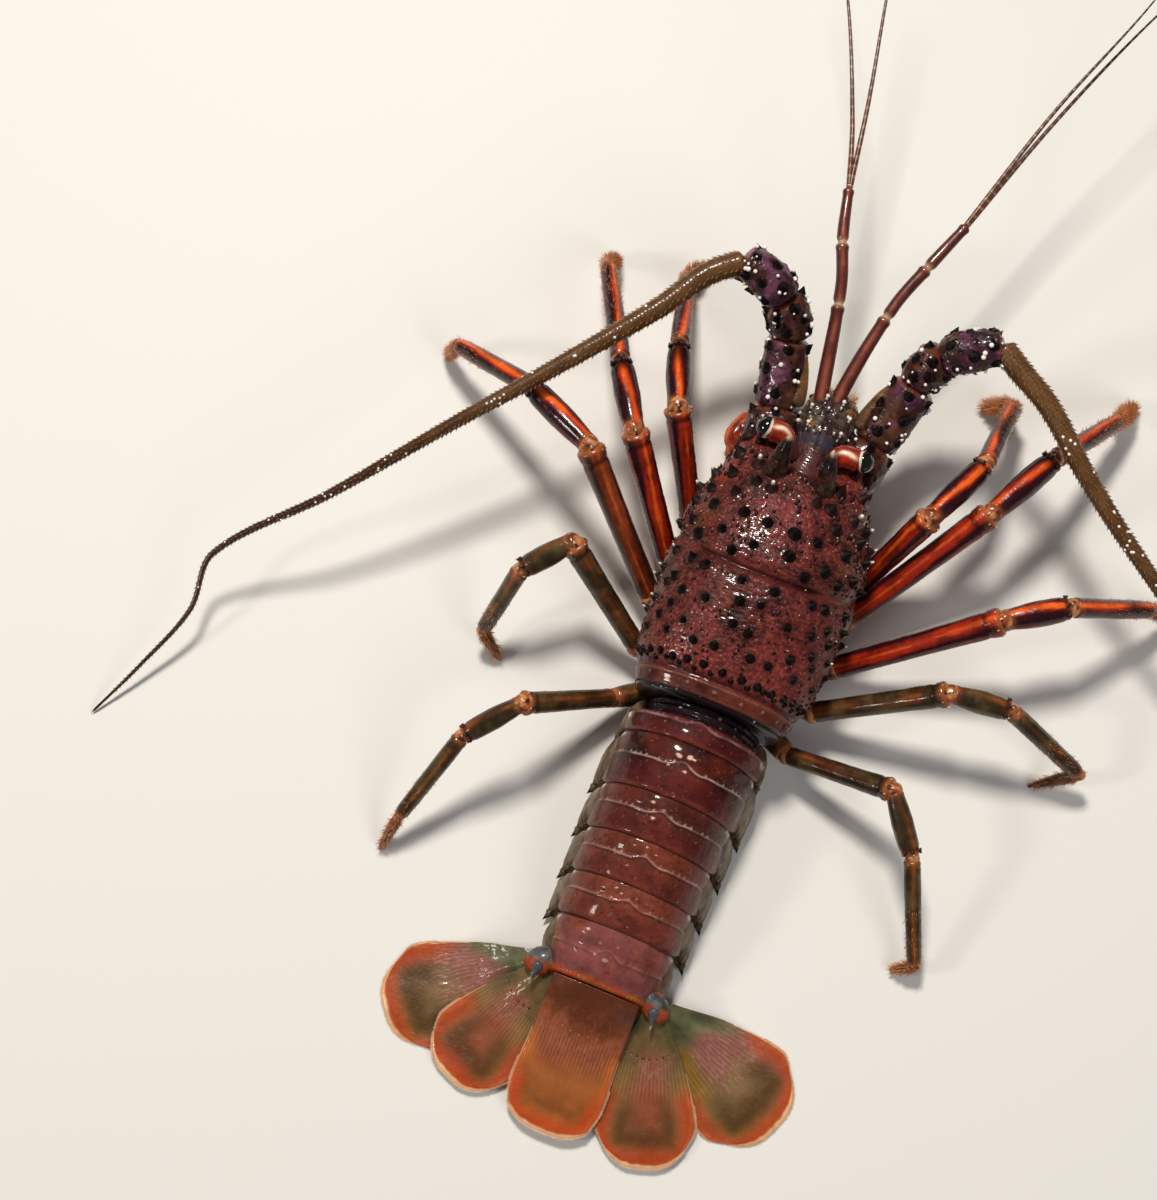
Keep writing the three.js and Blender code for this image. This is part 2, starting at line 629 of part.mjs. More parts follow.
function antenna(name, seed) {
  const spec = ANTENNA_STALKS[name];
  const nodes = {};
  const near = [carapace, antennularPlate, thoraxUnderside];
  let previous = null;
  ['base', 'segment_1', 'segment_2', 'segment_3'].forEach((part, i) => {
    const stations = stationsOf(spec[part]);
    const spikes = scatterSpikes(stations, STALK_SPIKES, 3.4, 1.2, seed + i);
    // A soft flap lies along the inner side of the first free segment
    const flaps = part === 'segment_1' ? [rod(stationsOf(spec.flap), LIMB_SIDES)] : [];
    const whole = fused(rod(stations, 8), ...spikes, ...flaps);
    nodes[part] = previous ? clearOf(whole, previous, antennularPlate) : clearOf(whole, ...near);
    previous = nodes[part];
  });
  const curve = new THREE.CatmullRomCurve3(spec.whip.map((p) => at(...p)), false, 'centripetal');
  const tipCurve = new THREE.CatmullRomCurve3(spec.whipTip.map((p) => at(...p)), false, 'centripetal');
  const length = curve.getLength();
  nodes.flagellum_base = clearOf(whip(curve, 0, length / 2, 0), previous);
  nodes.flagellum_middle = whip(curve, length / 2 + GAP, length, 0);
  const tip = whip(tipCurve, GAP, tipCurve.getLength(), length);
  nodes.flagellum_tip = aboveFloor(clearOf(tip, nodes.flagellum_middle));
  return nodes;
}
const antennae = { left: antenna('left', 31), right: antenna('right', 47) };

const EYES = {
  left: {
    stalk: [[-5.6, 50, 44.5, 3], [-9, 55, 46, 3.6], [-12.3, 57.6, 47, 4], [-15.4, 57.8, 47, 3.9]],
    eye: [-18.2, 57.8, 47],
  },
  right: {
    stalk: [[4, 50, 44.5, 3], [7.6, 55, 46, 3.6], [10.8, 57.9, 47, 4], [14.8, 58.4, 47, 3.9]],
    eye: [17.9, 58.6, 47],
  },
};
function eye(name) {
  const spec = EYES[name];
  const near = [carapace, antennularPlate, antennae[name].base];
  const stalk = clearOf(fused(rod(stationsOf(spec.stalk), 10)), ...near);
  const ball = new THREE.SphereGeometry(4.2, 12, 8).translate(...spec.eye);
  return { stalk, ball: clearOf(fused(solidFromGeometry(ball)), stalk, ...near) };
}
const eyes = { left: eye('left'), right: eye('right') };

const ANTENNULE_STEPS = 8;
const ANTENNULES = {
  left: {
    stalk: [[-3, 70, 38, 2.4], [-5.3, 82, 40.5, 2.7], [-12.5, 117.5, 50, 2.2], [-18.5, 134, 54, 2.2],
      [-23, 152, 56, 1.8]],
    outer: [[-23, 152, 56], [-31, 176.5, 58], [-49, 219, 62], [-72, 262, 62]],
    inner: [[-22.6, 152, 56], [-28, 185, 60], [-36, 224, 66], [-44, 268, 70]],
  },
  right: {
    stalk: [[3, 70, 38, 2.4], [1.5, 81, 40.5, 2.7], [8, 117, 50, 2.2], [15, 136, 54, 2.2],
      [22, 154, 56, 1.8]],
    outer: [[22, 154, 56], [39, 206, 58], [59, 257, 60], [72, 282, 59]],
    inner: [[21.6, 154, 56], [36, 204, 61], [53, 250, 66], [60, 272, 68]],
  },
};
function antennule(name) {
  const spec = ANTENNULES[name];
  const { base, segment_1: firstSegment } = antennae[name];
  const stalk = clearOf(fused(rod(stationsOf(spec.stalk), 8)), antennularPlate, base, firstSegment);
  const flagellum = (points, near) => {
    const curve = new THREE.CatmullRomCurve3(points.map((p) => at(...p)), false, 'centripetal');
    const stations = Array.from({ length: ANTENNULE_STEPS + 1 }, (_, i) => {
      const share = i / ANTENNULE_STEPS;
      return { p: curve.getPointAt(share), w: 1.2 - 0.95 * share };
    });
    return clearOf(fused(rod(stations, 5)), ...near);
  };
  const outer = flagellum(spec.outer, [stalk]);
  return { stalk, outer, inner: flagellum(spec.inner, [stalk, outer]) };
}
const antennules = { left: antennule('left'), right: antennule('right') };

// Third maxillipeds: short leg-like mouth limbs beside the antenna bases
const MAXILLIPEDS = {
  left: [
    [-8, 36, 7, 3.6], [-18, 45, 9, 4.2], [-28, 57, 13.5, 4], [-29.5, 63, 14.5, 3.8], [-24.5, 75, 14, 2.8],
    [-18, 83, 12.5, 1],
  ],
  right: [
    [8, 36, 7, 3.6], [16, 46, 9, 4], [21.5, 58, 12, 3.6], [22.5, 66, 13, 3.2], [18.5, 77, 13, 2.4],
    [14, 85, 12, 1],
  ],
};
function maxilliped(name) {
  const stations = stationsOf(MAXILLIPEDS[name]);
  return clearOf(fused(rod(stations, 8)), thoraxUnderside, carapace, antennae[name].base);
}
const maxillipeds = { left: maxilliped('left'), right: maxilliped('right') };

// Walking legs

const LEG_GIRTH = {
  coxa: [[0, 4.6], [0.25, 5.3], [1, 4.2]],
  merus: [[0, 3.9], [0.1, 4.4], [0.55, 4.5], [0.94, 5], [1, 3.8]],
  carpus: [[0, 3.6], [0.12, 4.4], [0.88, 4.5], [1, 3.3]],
  propodus: [[0, 3.1], [0.1, 3.8], [0.92, 3.2], [1, 2.4]],
  dactyl: [[0, 2.2], [0.2, 2.7], [0.85, 1.4], [1, 0.9]],
};
const LEG_SIZE = { 1: 1, 2: 1.02, 3: 1.02, 4: 0.92, 5: 0.84 };
const LEG_ROOT = { 1: 24, 2: 10.5, 3: -4, 4: -19, 5: -34 };
const HIP_HEIGHT = 13;
const TOE_HEIGHT = 0.7;
// Per leg: where the hip stands, then merus, carpus and propodus as
// [length, heading from +Y toward +X, rise above level] and the last joint as [length, heading]
const LEGS = {
  left_1: [[-34, 27], [44, -32, 41], [27, -19, -15], [44, -15, -33], [15, 24]],
  left_2: [[-35, 7.5], [55, -41, 41], [29, -31, -12], [55, -27, -28], [19, -2]],
  left_3: [[-36, -8], [64, -48, 35], [32, -63, -9], [46, -70, -34], [19, -97]],
  left_4: [[-34, -27], [51, -60, 41], [21, -137, -17], [35, -159, -52], [16, 122]],
  left_5: [[-35, -48], [43, -125, 39], [24, -139, -12], [41, -159, -32], [18, -165]],
  right_1: [[33, 25], [42, 31, 47], [30, 23, -8], [41, 6, -34], [19, -82]],
  right_2: [[34, 12], [65, 35, 26], [32, 27, -4], [46, 31, -33], [19, 19]],
  right_3: [[35, -8], [66, 57, 25], [24, 57, 0], [43, 60, -34], [20, 76]],
  right_4: [[34, -26], [53, 66, 29], [22, 83, -5], [41, 102, -34], [21, -119]],
  right_5: [[31, -44], [44, 93, 28], [24, 143, -10], [42, 154, -30], [11, -115]],
};

function step(from, [length, heading, rise]) {
  const level = length * Math.cos(radians(rise));
  const x = level * Math.sin(radians(heading));
  const y = level * Math.cos(radians(heading));
  return from.clone().add(at(x, y, length * Math.sin(radians(rise))));
}

function legJoints(name) {
  const [hipPlace, merus, carpus, propodus, [length, heading]] = LEGS[name];
  const number = Number(name.slice(-1));
  const side = name.startsWith('left') ? -1 : 1;
  const root = at(side * (along(STERNUM.halfWidth, LEG_ROOT[number]) - 2), LEG_ROOT[number], 6.2);
  const hip = at(hipPlace[0], hipPlace[1], HIP_HEIGHT);
  const knee = step(hip, merus);
  const wrist = step(knee, carpus);
  const ankle = step(wrist, propodus);
  const fall = THREE.MathUtils.radToDeg(Math.asin((ankle.z - TOE_HEIGHT) / length));
  return { root, hip, knee, wrist, ankle, toe: step(ankle, [length, heading, -fall]) };
}

const thicker = (girth, scale) => girth.map(([share, w]) => [share, w * scale]);

function leg(name) {
  const size = LEG_SIZE[Number(name.slice(-1))];
  const j = legJoints(name);
  const part = (kind, from, to) => limbSegment(from, to, thicker(LEG_GIRTH[kind], size), LIMB_SIDES);
  const forward = j.knee.clone().sub(j.hip).normalize();
  const kneeSpine = spike(
    j.hip.clone().lerp(j.knee, 0.93).addScaledVector(UP, 4 * size),
    forward.clone().addScaledVector(UP, 0.5).normalize(),
    3.6,
    1.2,
  );
  const upper = fused(part('coxa', j.root, j.hip), part('merus', j.hip, j.knee), kneeSpine);
  const lower = fused(
    part('carpus', j.knee, j.wrist),
    part('propodus', j.wrist, j.ankle),
    part('dactyl', j.ankle, j.toe),
  );
  const side = name.startsWith('left') ? 'left' : 'right';
  const near = [thoraxUnderside, carapace, abdomen[0], abdomen[1], maxillipeds[side]];
  const cleared = aboveFloor(clearOf(upper, ...near));
  return { upper: cleared, lower: aboveFloor(clearOf(lower, cleared)) };
}

// Materials, with the colours of the fresh animal

const finish = (colour, roughness) => ({ color: colour, roughness, metalness: 0 });
const FINISH = {
  shell: finish(0x4a1c1e, 0.35),
  abdomen: finish(0x3b1a18, 0.35),
  underside: finish(0xb08a62, 0.5),
  leg: finish(0x6a2318, 0.3),
  antenna: finish(0x4a2a30, 0.4),
  whip: finish(0x463522, 0.45),
  antennule: finish(0x6b3324, 0.4),
  stalk: finish(0xb5391c, 0.25),
  cornea: finish(0x0c0a0a, 0.08),
  fan: finish(0x7a4a22, 0.4),
};

const lobster = new THREE.Group();

function place(name, { solid }, look) {
  const { vertProperties, triVerts } = solid.getMesh();
  const geometry = new THREE.BufferGeometry();
  geometry.setAttribute('position', new THREE.BufferAttribute(new Float32Array(vertProperties), 3));
  geometry.setIndex(new THREE.BufferAttribute(new Uint32Array(triVerts), 1));
  const mesh = new THREE.Mesh(geometry, new THREE.MeshStandardMaterial({ ...look, flatShading: true }));
  mesh.name = name;
  lobster.add(mesh);
}

place('carapace', carapace, FINISH.shell);
place('thorax_underside', thoraxUnderside, FINISH.underside);
place('antennular_plate', antennularPlate, FINISH.antenna);
abdomen.forEach((segment, i) => place(`abdomen_${i + 1}`, segment, FINISH.abdomen));
place('telson', telson, FINISH.fan);
for (const side of ['left', 'right']) {
  place(`uropod_${side}_outer`, outerVanes[side], FINISH.fan);
  place(`uropod_${side}_inner`, innerVanes[side], FINISH.fan);
  place(`eyestalk_${side}`, eyes[side].stalk, FINISH.stalk);
  place(`eye_${side}`, eyes[side].ball, FINISH.cornea);
  for (const [part, node] of Object.entries(antennae[side])) {
    const look = part.startsWith('flagellum') ? FINISH.whip : FINISH.antenna;
    place(`antenna_${side}_${part}`, node, look);
  }
  place(`antennule_${side}_stalk`, antennules[side].stalk, FINISH.antennule);
  place(`antennule_${side}_outer`, antennules[side].outer, FINISH.antennule);
  place(`antennule_${side}_inner`, antennules[side].inner, FINISH.antennule);
  place(`maxilliped_${side}`, maxillipeds[side], FINISH.leg);
}
for (const name of Object.keys(LEGS)) {
  const { upper, lower } = leg(name);
  place(`leg_${name}_upper`, upper, FINISH.leg);
  place(`leg_${name}_lower`, lower, FINISH.leg);
}

export default lobster;
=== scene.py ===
import math

import bpy
import numpy as np
from mathutils import Matrix, Vector


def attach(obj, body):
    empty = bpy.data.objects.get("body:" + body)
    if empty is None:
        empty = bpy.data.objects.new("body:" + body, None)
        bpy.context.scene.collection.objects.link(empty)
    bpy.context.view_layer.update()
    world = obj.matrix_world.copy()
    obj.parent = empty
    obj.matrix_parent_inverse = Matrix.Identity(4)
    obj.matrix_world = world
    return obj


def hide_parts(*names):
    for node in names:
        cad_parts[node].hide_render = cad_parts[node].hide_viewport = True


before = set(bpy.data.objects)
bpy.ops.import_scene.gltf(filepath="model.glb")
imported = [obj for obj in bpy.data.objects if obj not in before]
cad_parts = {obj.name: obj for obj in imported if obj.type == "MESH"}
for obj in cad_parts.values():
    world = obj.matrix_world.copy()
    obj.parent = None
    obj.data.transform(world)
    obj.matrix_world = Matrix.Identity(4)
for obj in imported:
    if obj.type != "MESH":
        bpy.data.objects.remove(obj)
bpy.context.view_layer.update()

# All shapes below are worked out in millimetres, in the frame of the part:
# +Z up, +Y to the head, +X to the animal's right, z = 0 on the floor.

# Numbers and colours


def srgb(code):
    """Linear colour of a hex code. A colour that is worked out already stays as it is."""
    if not isinstance(code, int):
        return code
    c = np.array([(code >> 16) & 255, (code >> 8) & 255, code & 255]) / 255.0
    return np.where(c <= 0.04045, c / 12.92, ((c + 0.055) / 1.055) ** 2.4)


def along(stations, place):
    """The smooth curve through [place, value] stations."""
    s = np.array(stations, float)
    if s[0, 0] > s[-1, 0]:
        s = s[::-1]
    p, v = s[:, 0], s[:, 1:]
    n = len(p)
    x = np.clip(np.asarray(place, float), p[0], p[-1])
    i = np.clip(np.searchsorted(p, x, side="right") - 1, 0, n - 2)
    before = np.maximum(np.arange(n) - 1, 0)
    after = np.minimum(np.arange(n) + 1, n - 1)
    slope = (v[after] - v[before]) / (p[after] - p[before])[:, None]
    span = (p[i + 1] - p[i])[..., None]
    t = (x - p[i])[..., None] / span
    blend = t * t * (3 - 2 * t)
    pull = t * (1 - t) * ((1 - t) * slope[i] - t * slope[i + 1])
    out = v[i] * (1 - blend) + v[i + 1] * blend + span * pull
    return out[..., 0] if out.shape[-1] == 1 else out


def smooth(a, b, x):
    t = np.clip((np.asarray(x, float) - a) / (b - a), 0, 1)
    return t * t * (3 - 2 * t)


def bump(x):
    return np.exp(-np.square(x))


def unit(v):
    return v / np.maximum(np.linalg.norm(v, axis=-1, keepdims=True), 1e-9)


def mix(a, b, t):
    a, b = srgb(a), srgb(b)
    return a + (b - a) * np.asarray(t, float)[..., None]


def coats(base, *layers):
    """Lays coats of (colour, amount) over a base, one after the other."""
    for tint, amount in layers:
        base = mix(base, tint, amount)
    return base


def either(pick, yes, no):
    return np.where(pick[:, None], srgb(yes), srgb(no))


def dome(x):
    return np.clip(1 - x ** 2, 0, 1)


def cone(x):
    return np.clip(1 - x, 0, 1)


def hashed(i, j, k, seed):
    u = np.uint32
    h = i.astype(u) * u(374761393) + j.astype(u) * u(668265263) + k.astype(u) * u(2246822519)
    h = h + u((seed * 3266489917) & 0xFFFFFFFF)
    h = (h ^ (h >> u(13))) * u(1274126177)
    h = (h ^ (h >> u(15))) * u(2246822519)
    return (h ^ (h >> u(16))).astype(float) / 4294967295.0


def noise(points, scale, seed=0):
    """Smooth value noise from 0 to 1."""
    q = points / scale
    cell = np.floor(q).astype(np.int64)
    f = q - cell
    f = f * f * (3 - 2 * f)
    total = np.zeros(points.shape[:-1])
    for a in (0, 1):
        for b in (0, 1):
            for c in (0, 1):
                w = (f[..., 0] if a else 1 - f[..., 0]) * (f[..., 1] if b else 1 - f[..., 1])
                w = w * (f[..., 2] if c else 1 - f[..., 2])
                total += w * hashed(cell[..., 0] + a, cell[..., 1] + b, cell[..., 2] + c, seed)
    return total


def clouds(points, scale, seed=0):
    return (0.55 * noise(points, scale, seed) + 0.3 * noise(points, scale / 2.1, seed + 1)
            + 0.15 * noise(points, scale / 4.3, seed + 2))


def blots(points, scale, seed, low, high):
    """Soft patches: 0 where the clouds are below low, 1 where they are above high."""
    return smooth(low, high, clouds(points, scale, seed))


def cells(points, size, seed=0):
    """Distance in mm to the nearest of many scattered centres, and that centre's own number."""
    stray = 0.9
    q = points / size
    cell = np.floor(q).astype(np.int64)
    best = np.full(points.shape[:-1], 9.0)
    who = np.zeros(points.shape[:-1])
    for a in (-1, 0, 1):
        for b in (-1, 0, 1):
            for c in (-1, 0, 1):
                i, j, k = cell[..., 0] + a, cell[..., 1] + b, cell[..., 2] + c
                centre = np.stack([n + 0.5 + stray * (hashed(i, j, k, seed + own) - 0.5)
                                   for n, own in ((i, 0), (j, 11), (k, 23))], -1)
                d = np.linalg.norm(q - centre, axis=-1)
                near = d < best
                best = np.where(near, d, best)
                who = np.where(near, hashed(i, j, k, seed + 37), who)
    return best * size, who


def seeded(seed):
    """Repeatable random numbers from 0 to 1, as in the part's own source."""
    state = [seed]

    def roll():
        mask = 0xFFFFFFFF
        state[0] = (state[0] + 0x6D2B79F5) & mask
        s = state[0]
        t = ((s ^ (s >> 15)) * (1 | s)) & mask
        t = ((t + (((t ^ (t >> 7)) * (61 | t)) & mask)) ^ t) & mask
        return ((t ^ (t >> 14)) & mask) / 4294967296

    return roll


# Meshes


def grid_faces(rows, cols, wrap):
    r = np.arange(rows - 1)[:, None]
    c = np.arange(cols if wrap else cols - 1)[None, :]
    n = (c + 1) % cols
    corners = [r * cols + c, r * cols + n, (r + 1) * cols + n, (r + 1) * cols + c]
    return np.stack(corners, -1).reshape(-1, 4)


def globe(phi, theta):
    """Directions at angles phi from the pole and theta round it."""
    level = np.sin(phi)
    return np.stack([level * np.cos(theta), level * np.sin(theta), np.cos(phi) + 0 * theta], -1)


def caps(rows, cols, first, last):
    """Fans of triangles that close both ends of a tube, round the points first and last."""
    c = np.arange(cols)
    n = (c + 1) % cols
    end = (rows - 1) * cols
    return np.concatenate([
        np.stack([n, c, np.full(cols, first)], -1),
        np.stack([end + c, end + n, np.full(cols, last)], -1)])


def normals(grid):
    return unit(np.cross(np.gradient(grid, axis=0), np.gradient(grid, axis=1)))


class Piece:
    """One visible piece, gathered from closed chunks of mesh."""

    def __init__(self):
        self.points, self.quads, self.tris, self.tones, self.uvs = [], [], [], [], []
        self.count = 0

    def add(self, points, quads, tris, tone, uv=None):
        points = points.reshape(-1, 3)
        tone = np.broadcast_to(tone.reshape(-1, 3), (len(points), 3))
        whole = np.concatenate([quads[:, :3], quads[:, [0, 2, 3]], tris])
        a, b, c = (points[whole[:, i]] for i in range(3))
        # Faces that look inward are turned round
        turn = -1 if np.einsum("ij,ij->i", a, np.cross(b, c)).sum() < 0 else 1
        self.quads.append(quads[:, ::turn] + self.count)
        self.tris.append(tris[:, ::turn] + self.count)
        self.points.append(points)
        self.tones.append(tone)
        self.uvs.append(np.zeros((len(points), 2)) if uv is None else uv)
        self.count += len(points)

    def build(self, name, material, replaces=(), with_uv=False):
        mesh = bpy.data.meshes.new(name)
        faces = [q for part in self.quads for q in part.tolist()]
        faces += [t for part in self.tris for t in part.tolist()]
        points = np.concatenate(self.points) * 0.001
        mesh.from_pydata(points.tolist(), [], faces)
        tone = mesh.color_attributes.new("tone", "FLOAT_COLOR", "POINT")
        rgba = np.concatenate([np.concatenate(self.tones), np.ones((self.count, 1))], 1)
        tone.data.foreach_set("color", np.clip(rgba, 0, 1).astype(np.float32).ravel())
        if with_uv:
            layer = mesh.uv_layers.new(name="OFBake")
            index = np.empty(len(mesh.loops), np.int32)
            mesh.loops.foreach_get("vertex_index", index)
            layer.data.foreach_set("uv", np.concatenate(self.uvs)[index].astype(np.float32).ravel())
        mesh.shade_smooth()
        mesh.materials.append(material)
        obj = bpy.data.objects.new(name, mesh)
        bpy.context.scene.collection.objects.link(obj)
        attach(obj, "root")
        if replaces:
            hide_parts(*replaces)

    def tube(self, grid, tone):
        """A closed skin over a grid of rings."""
        rows, cols, _ = grid.shape
        points = np.concatenate([grid.reshape(-1, 3), grid[0].mean(0)[None], grid[-1].mean(0)[None]])
        tris = caps(rows, cols, rows * cols, rows * cols + 1)
        flat = tone.reshape(-1, 3)
        self.add(points, grid_faces(rows, cols, True), tris, np.concatenate([flat, flat[:1], flat[-1:]]))

    def sheet(self, top, under, tone_top, tone_under):
        """A thin vane between two like grids, closed round its rim."""
        rows, cols, _ = top.shape
        layer = rows * cols
        quads = grid_faces(rows, cols, False)
        index = np.arange(layer).reshape(rows, cols)
        rim = np.concatenate([index[0, :-1], index[:-1, -1], index[-1, :0:-1], index[:0:-1, 0]])
        after = np.roll(rim, -1)
        side = np.stack([rim, rim + layer, after + layer, after], -1)
        tone = np.concatenate([tone_top.reshape(-1, 3), tone_under.reshape(-1, 3)])
        points = np.concatenate([top.reshape(-1, 3), under.reshape(-1, 3)])
        quads = np.concatenate([quads, quads[:, ::-1] + layer, side])
        self.add(points, quads, np.empty((0, 3), int), tone)

    def spread(self, shape, count, faces, points, tone, uvs=None):
        """Adds many copies of one small closed shape, given their points."""
        quads, tris = faces
        step = (np.arange(count) * shape)[:, None, None]
        quads, tris = (quads[None] + step).reshape(-1, 4), (tris[None] + step).reshape(-1, 3)
        self.add(points, quads, tris, tone, uvs)

    def thorns(self, base, direction, length, radius, tone, tip_tone, tip_from,
               sides=9, rings=8, bend=0.1, flare=0.4, uv=None):
        """Tapered spines, whose roots sink into what carries them."""
        base = np.atleast_2d(np.asarray(base, float))
        n = len(base)
        if not n:
            return
        direction = unit(np.broadcast_to(np.asarray(direction, float), (n, 3)))
        length = np.broadcast_to(np.asarray(length, float), (n,))
        radius = np.broadcast_to(np.asarray(radius, float), (n,))
        tone = np.broadcast_to(srgb(tone), (n, 3))
        tip_tone = np.broadcast_to(srgb(tip_tone), (n, 3))
        ref = np.where(np.abs(direction[:, 2:3]) > 0.93, [0.0, 1, 0], [0.0, 0, 1])
        side = unit(np.cross(direction, ref))
        lift = np.cross(side, direction)
        t = np.concatenate([[-0.15], np.linspace(0, 0.97, rings - 1) ** 1.1])
        theta = 2 * np.pi * np.arange(sides) / sides
        girth = np.clip(1 - t, 0.02, 1) ** 0.9 + flare * np.exp(-np.maximum(t, 0) / 0.12)
        girth[0] = girth[1]
        bow = bend * (t * t - t) * (t > 0)
        core = (base[:, None] + direction[:, None] * (length[:, None] * t)[..., None]
                + lift[:, None] * (length[:, None] * bow)[..., None])
        core[:, 0] = base - direction * np.minimum(radius, length * 0.4)[:, None]
        around = side[:, None] * np.cos(theta)[:, None] + lift[:, None] * np.sin(theta)[:, None]
        ringed = core[:, :, None] + around[:, None] * (radius[:, None] * girth)[..., None, None]
        tip = base + direction * length[:, None]
        root = core[:, 0]
        points = np.concatenate([ringed.reshape(n, -1, 3), tip[:, None], root[:, None]], 1)
        stride = rings * sides + 2
        share = np.concatenate([np.repeat(t, sides), [1.0, 0.0]])
        shade = mix(tone[:, None], tip_tone[:, None], smooth(tip_from, tip_from + 0.2, share)[None])
        uvs = None
        if uv is not None:
            spin = np.arange(stride) * 2.4
            uvs = (uv[:, None] + 0.0015 * np.stack([np.cos(spin), np.sin(spin)], -1)).reshape(-1, 2)
        faces = grid_faces(rings, sides, True), caps(rings, sides, stride - 1, stride - 2)
        self.spread(stride, n, faces, points, shade.reshape(-1, 3), uvs)

    def beads(self, place, radius, tone):
        """Small round knobs."""
        place = np.atleast_2d(np.asarray(place, float))
        n, rows, cols = len(place), 5, 8
        radius = np.broadcast_to(np.asarray(radius, float), (n,))
        phi = np.linspace(0, np.pi, rows + 2)[1:-1, None]
        theta = 2 * np.pi * np.arange(cols)[None] / cols
        way = np.concatenate([globe(phi, theta).reshape(-1, 3), [[0, 0, 1.0], [0, 0, -1.0]]])
        stride = rows * cols + 2
        faces = grid_faces(rows, cols, True), caps(rows, cols, stride - 2, stride - 1)
        self.spread(stride, n, faces, place[:, None] + way[None] * radius[:, None, None], srgb(tone))


def frames(path):
    """Side and lift directions along a path, as the limbs of the part have them."""
    t = unit(np.gradient(path, axis=0))
    ref = np.where(np.abs(t[:, 2:3]) > 0.93, [0.0, 1, 0], [0.0, 0, 1])
    side = unit(np.cross(t, ref))
    return t, side, np.cross(side, t)


def curve(stations, step):
    """A smooth path through stations of [x, y, z, ...], in even steps."""
    s = np.array(stations, float)
    run = np.concatenate([[0], np.cumsum(np.linalg.norm(np.diff(s[:, :3], axis=0), axis=1))])
    count = max(4, int(run[-1] / step) + 1)
    place = np.linspace(0, run[-1], count)
    return along(np.column_stack([run, s]), place), place


def rings(path, width, height, sides):
    """Rings of points round a path, with the angle of each: 90 degrees is the upper side."""
    _, side, lift = frames(path)
    angle = 2 * np.pi * (np.arange(sides) + 0.5) / sides
    out = side[:, None] * np.cos(angle)[:, None]
    up = lift[:, None] * np.sin(angle)[:, None]
    grid = path[:, None] + out * width[:, None, None] + up * height[:, None, None]
    return grid, unit(out + up), np.degrees(angle)


def round_ends(share, amount, length, width):
    """Closes the ends of a limb segment with a soft shoulder."""
    reach = amount * width / length
    return np.sqrt(dome(cone(share / reach))) * np.sqrt(dome(cone((1 - share) / reach)))


def round_path(path, pick, turn):
    """The way out of a path at picked places and angles, and the way ahead there."""
    ahead, across, lift = frames(path[:, :3])
    rad = np.radians(turn)[:, None]
    return across[pick] * np.cos(rad) + lift[pick] * np.sin(rad), ahead[pick]


def round_line(a, b, turn):
    """The way out of a straight limb at the given angles, and the way along it."""
    ahead = unit(b - a)
    across = unit(np.cross(ahead, [0, 0, 1.0]))
    rad = np.radians(turn)[..., None]
    return across * np.cos(rad) + np.cross(across, ahead) * np.sin(rad), ahead


# Materials


def join(tree, node, values):
    """Sets inputs of a node, each to a value or to the output of another node."""
    for name, value in values.items():
        if isinstance(value, bpy.types.NodeSocket):
            tree.links.new(value, node.inputs[name])
        else:
            node.inputs[name].default_value = value


def make(tree, kind, values, **settings):
    node = tree.nodes.new("ShaderNode" + kind)
    for name, value in settings.items():
        setattr(node, name, value)
    join(tree, node, values)
    return node


def material(name, bumps, rough, coat, mottle, mottle_size=9.0, coat_rough=0.12, specks=None,
             specular=0.5, sheen=0.0, subsurface=0.0):
    """A wet-looking shell: the tone of the surface, mottled, with fine bump and uneven gloss.
    bumps is a list of (kind, size in mm, strength, stretch along x, y and z if any)."""
    mat = bpy.data.materials.new(name)
    mat.use_nodes = True
    tree = mat.node_tree
    coords = make(tree, "TexCoord", {}).outputs["Object"]

    def texture(kind, size, detail=4.0, stretch=None):
        source = coords
        if stretch:
            source = make(tree, "VectorMath", {0: source, 1: stretch},
                          operation="MULTIPLY").outputs["Vector"]
        values = {"Vector": source, "Scale": 1000.0 / size}
        if kind == "noise":
            return make(tree, "TexNoise", {**values, "Detail": detail, "Roughness": 0.62}).outputs["Fac"]
        return make(tree, "TexVoronoi", values).outputs["Distance"]

    def ramp(source, low, high, start=0.3, end=0.7):
        values = {"Value": source, "From Min": start, "From Max": end, "To Min": low, "To Max": high}
        return make(tree, "MapRange", values).outputs["Result"]

    tone = make(tree, "VertexColor", {}, layer_name="tone").outputs["Color"]
    big = ramp(texture("noise", mottle_size), 1 - mottle, 1 + 0.6 * mottle)
    grey = make(tree, "CombineColor", {"Red": big, "Green": big, "Blue": big}).outputs["Color"]
    tint = make(tree, "Mix", {"A": tone, "B": grey, "Factor": 1.0}, data_type="RGBA",
                blend_type="MULTIPLY").outputs["Result"]
    if specks:
        size, dark, amount = specks
        spot = ramp(texture("voronoi", size), amount, 0.0, 0.16, 0.3)
        tint = make(tree, "Mix", {"A": tint, "B": (*srgb(dark), 1), "Factor": spot},
                    data_type="RGBA").outputs["Result"]
    values = {
        "Base Color": tint, "Roughness": ramp(texture("noise", 2.2), *rough),
        "Coat Weight": coat, "Coat Roughness": coat_rough, "Specular IOR Level": specular,
        "Sheen Weight": sheen}
    for kind, size, strength, *stretch in bumps:
        below = {"Normal": values["Normal"]} if "Normal" in values else {}
        height = texture(kind, size, 2.0, *stretch)
        values["Normal"] = make(tree, "Bump", {
            "Strength": strength, "Distance": size * 0.0003, "Height": height, **below}).outputs["Normal"]
    if subsurface:
        values.update({"Subsurface Weight": subsurface, "Subsurface Radius": (0.0012, 0.0005, 0.0003),
                       "Subsurface Scale": 1.0})
    join(tree, tree.nodes["Principled BSDF"], values)
    return mat


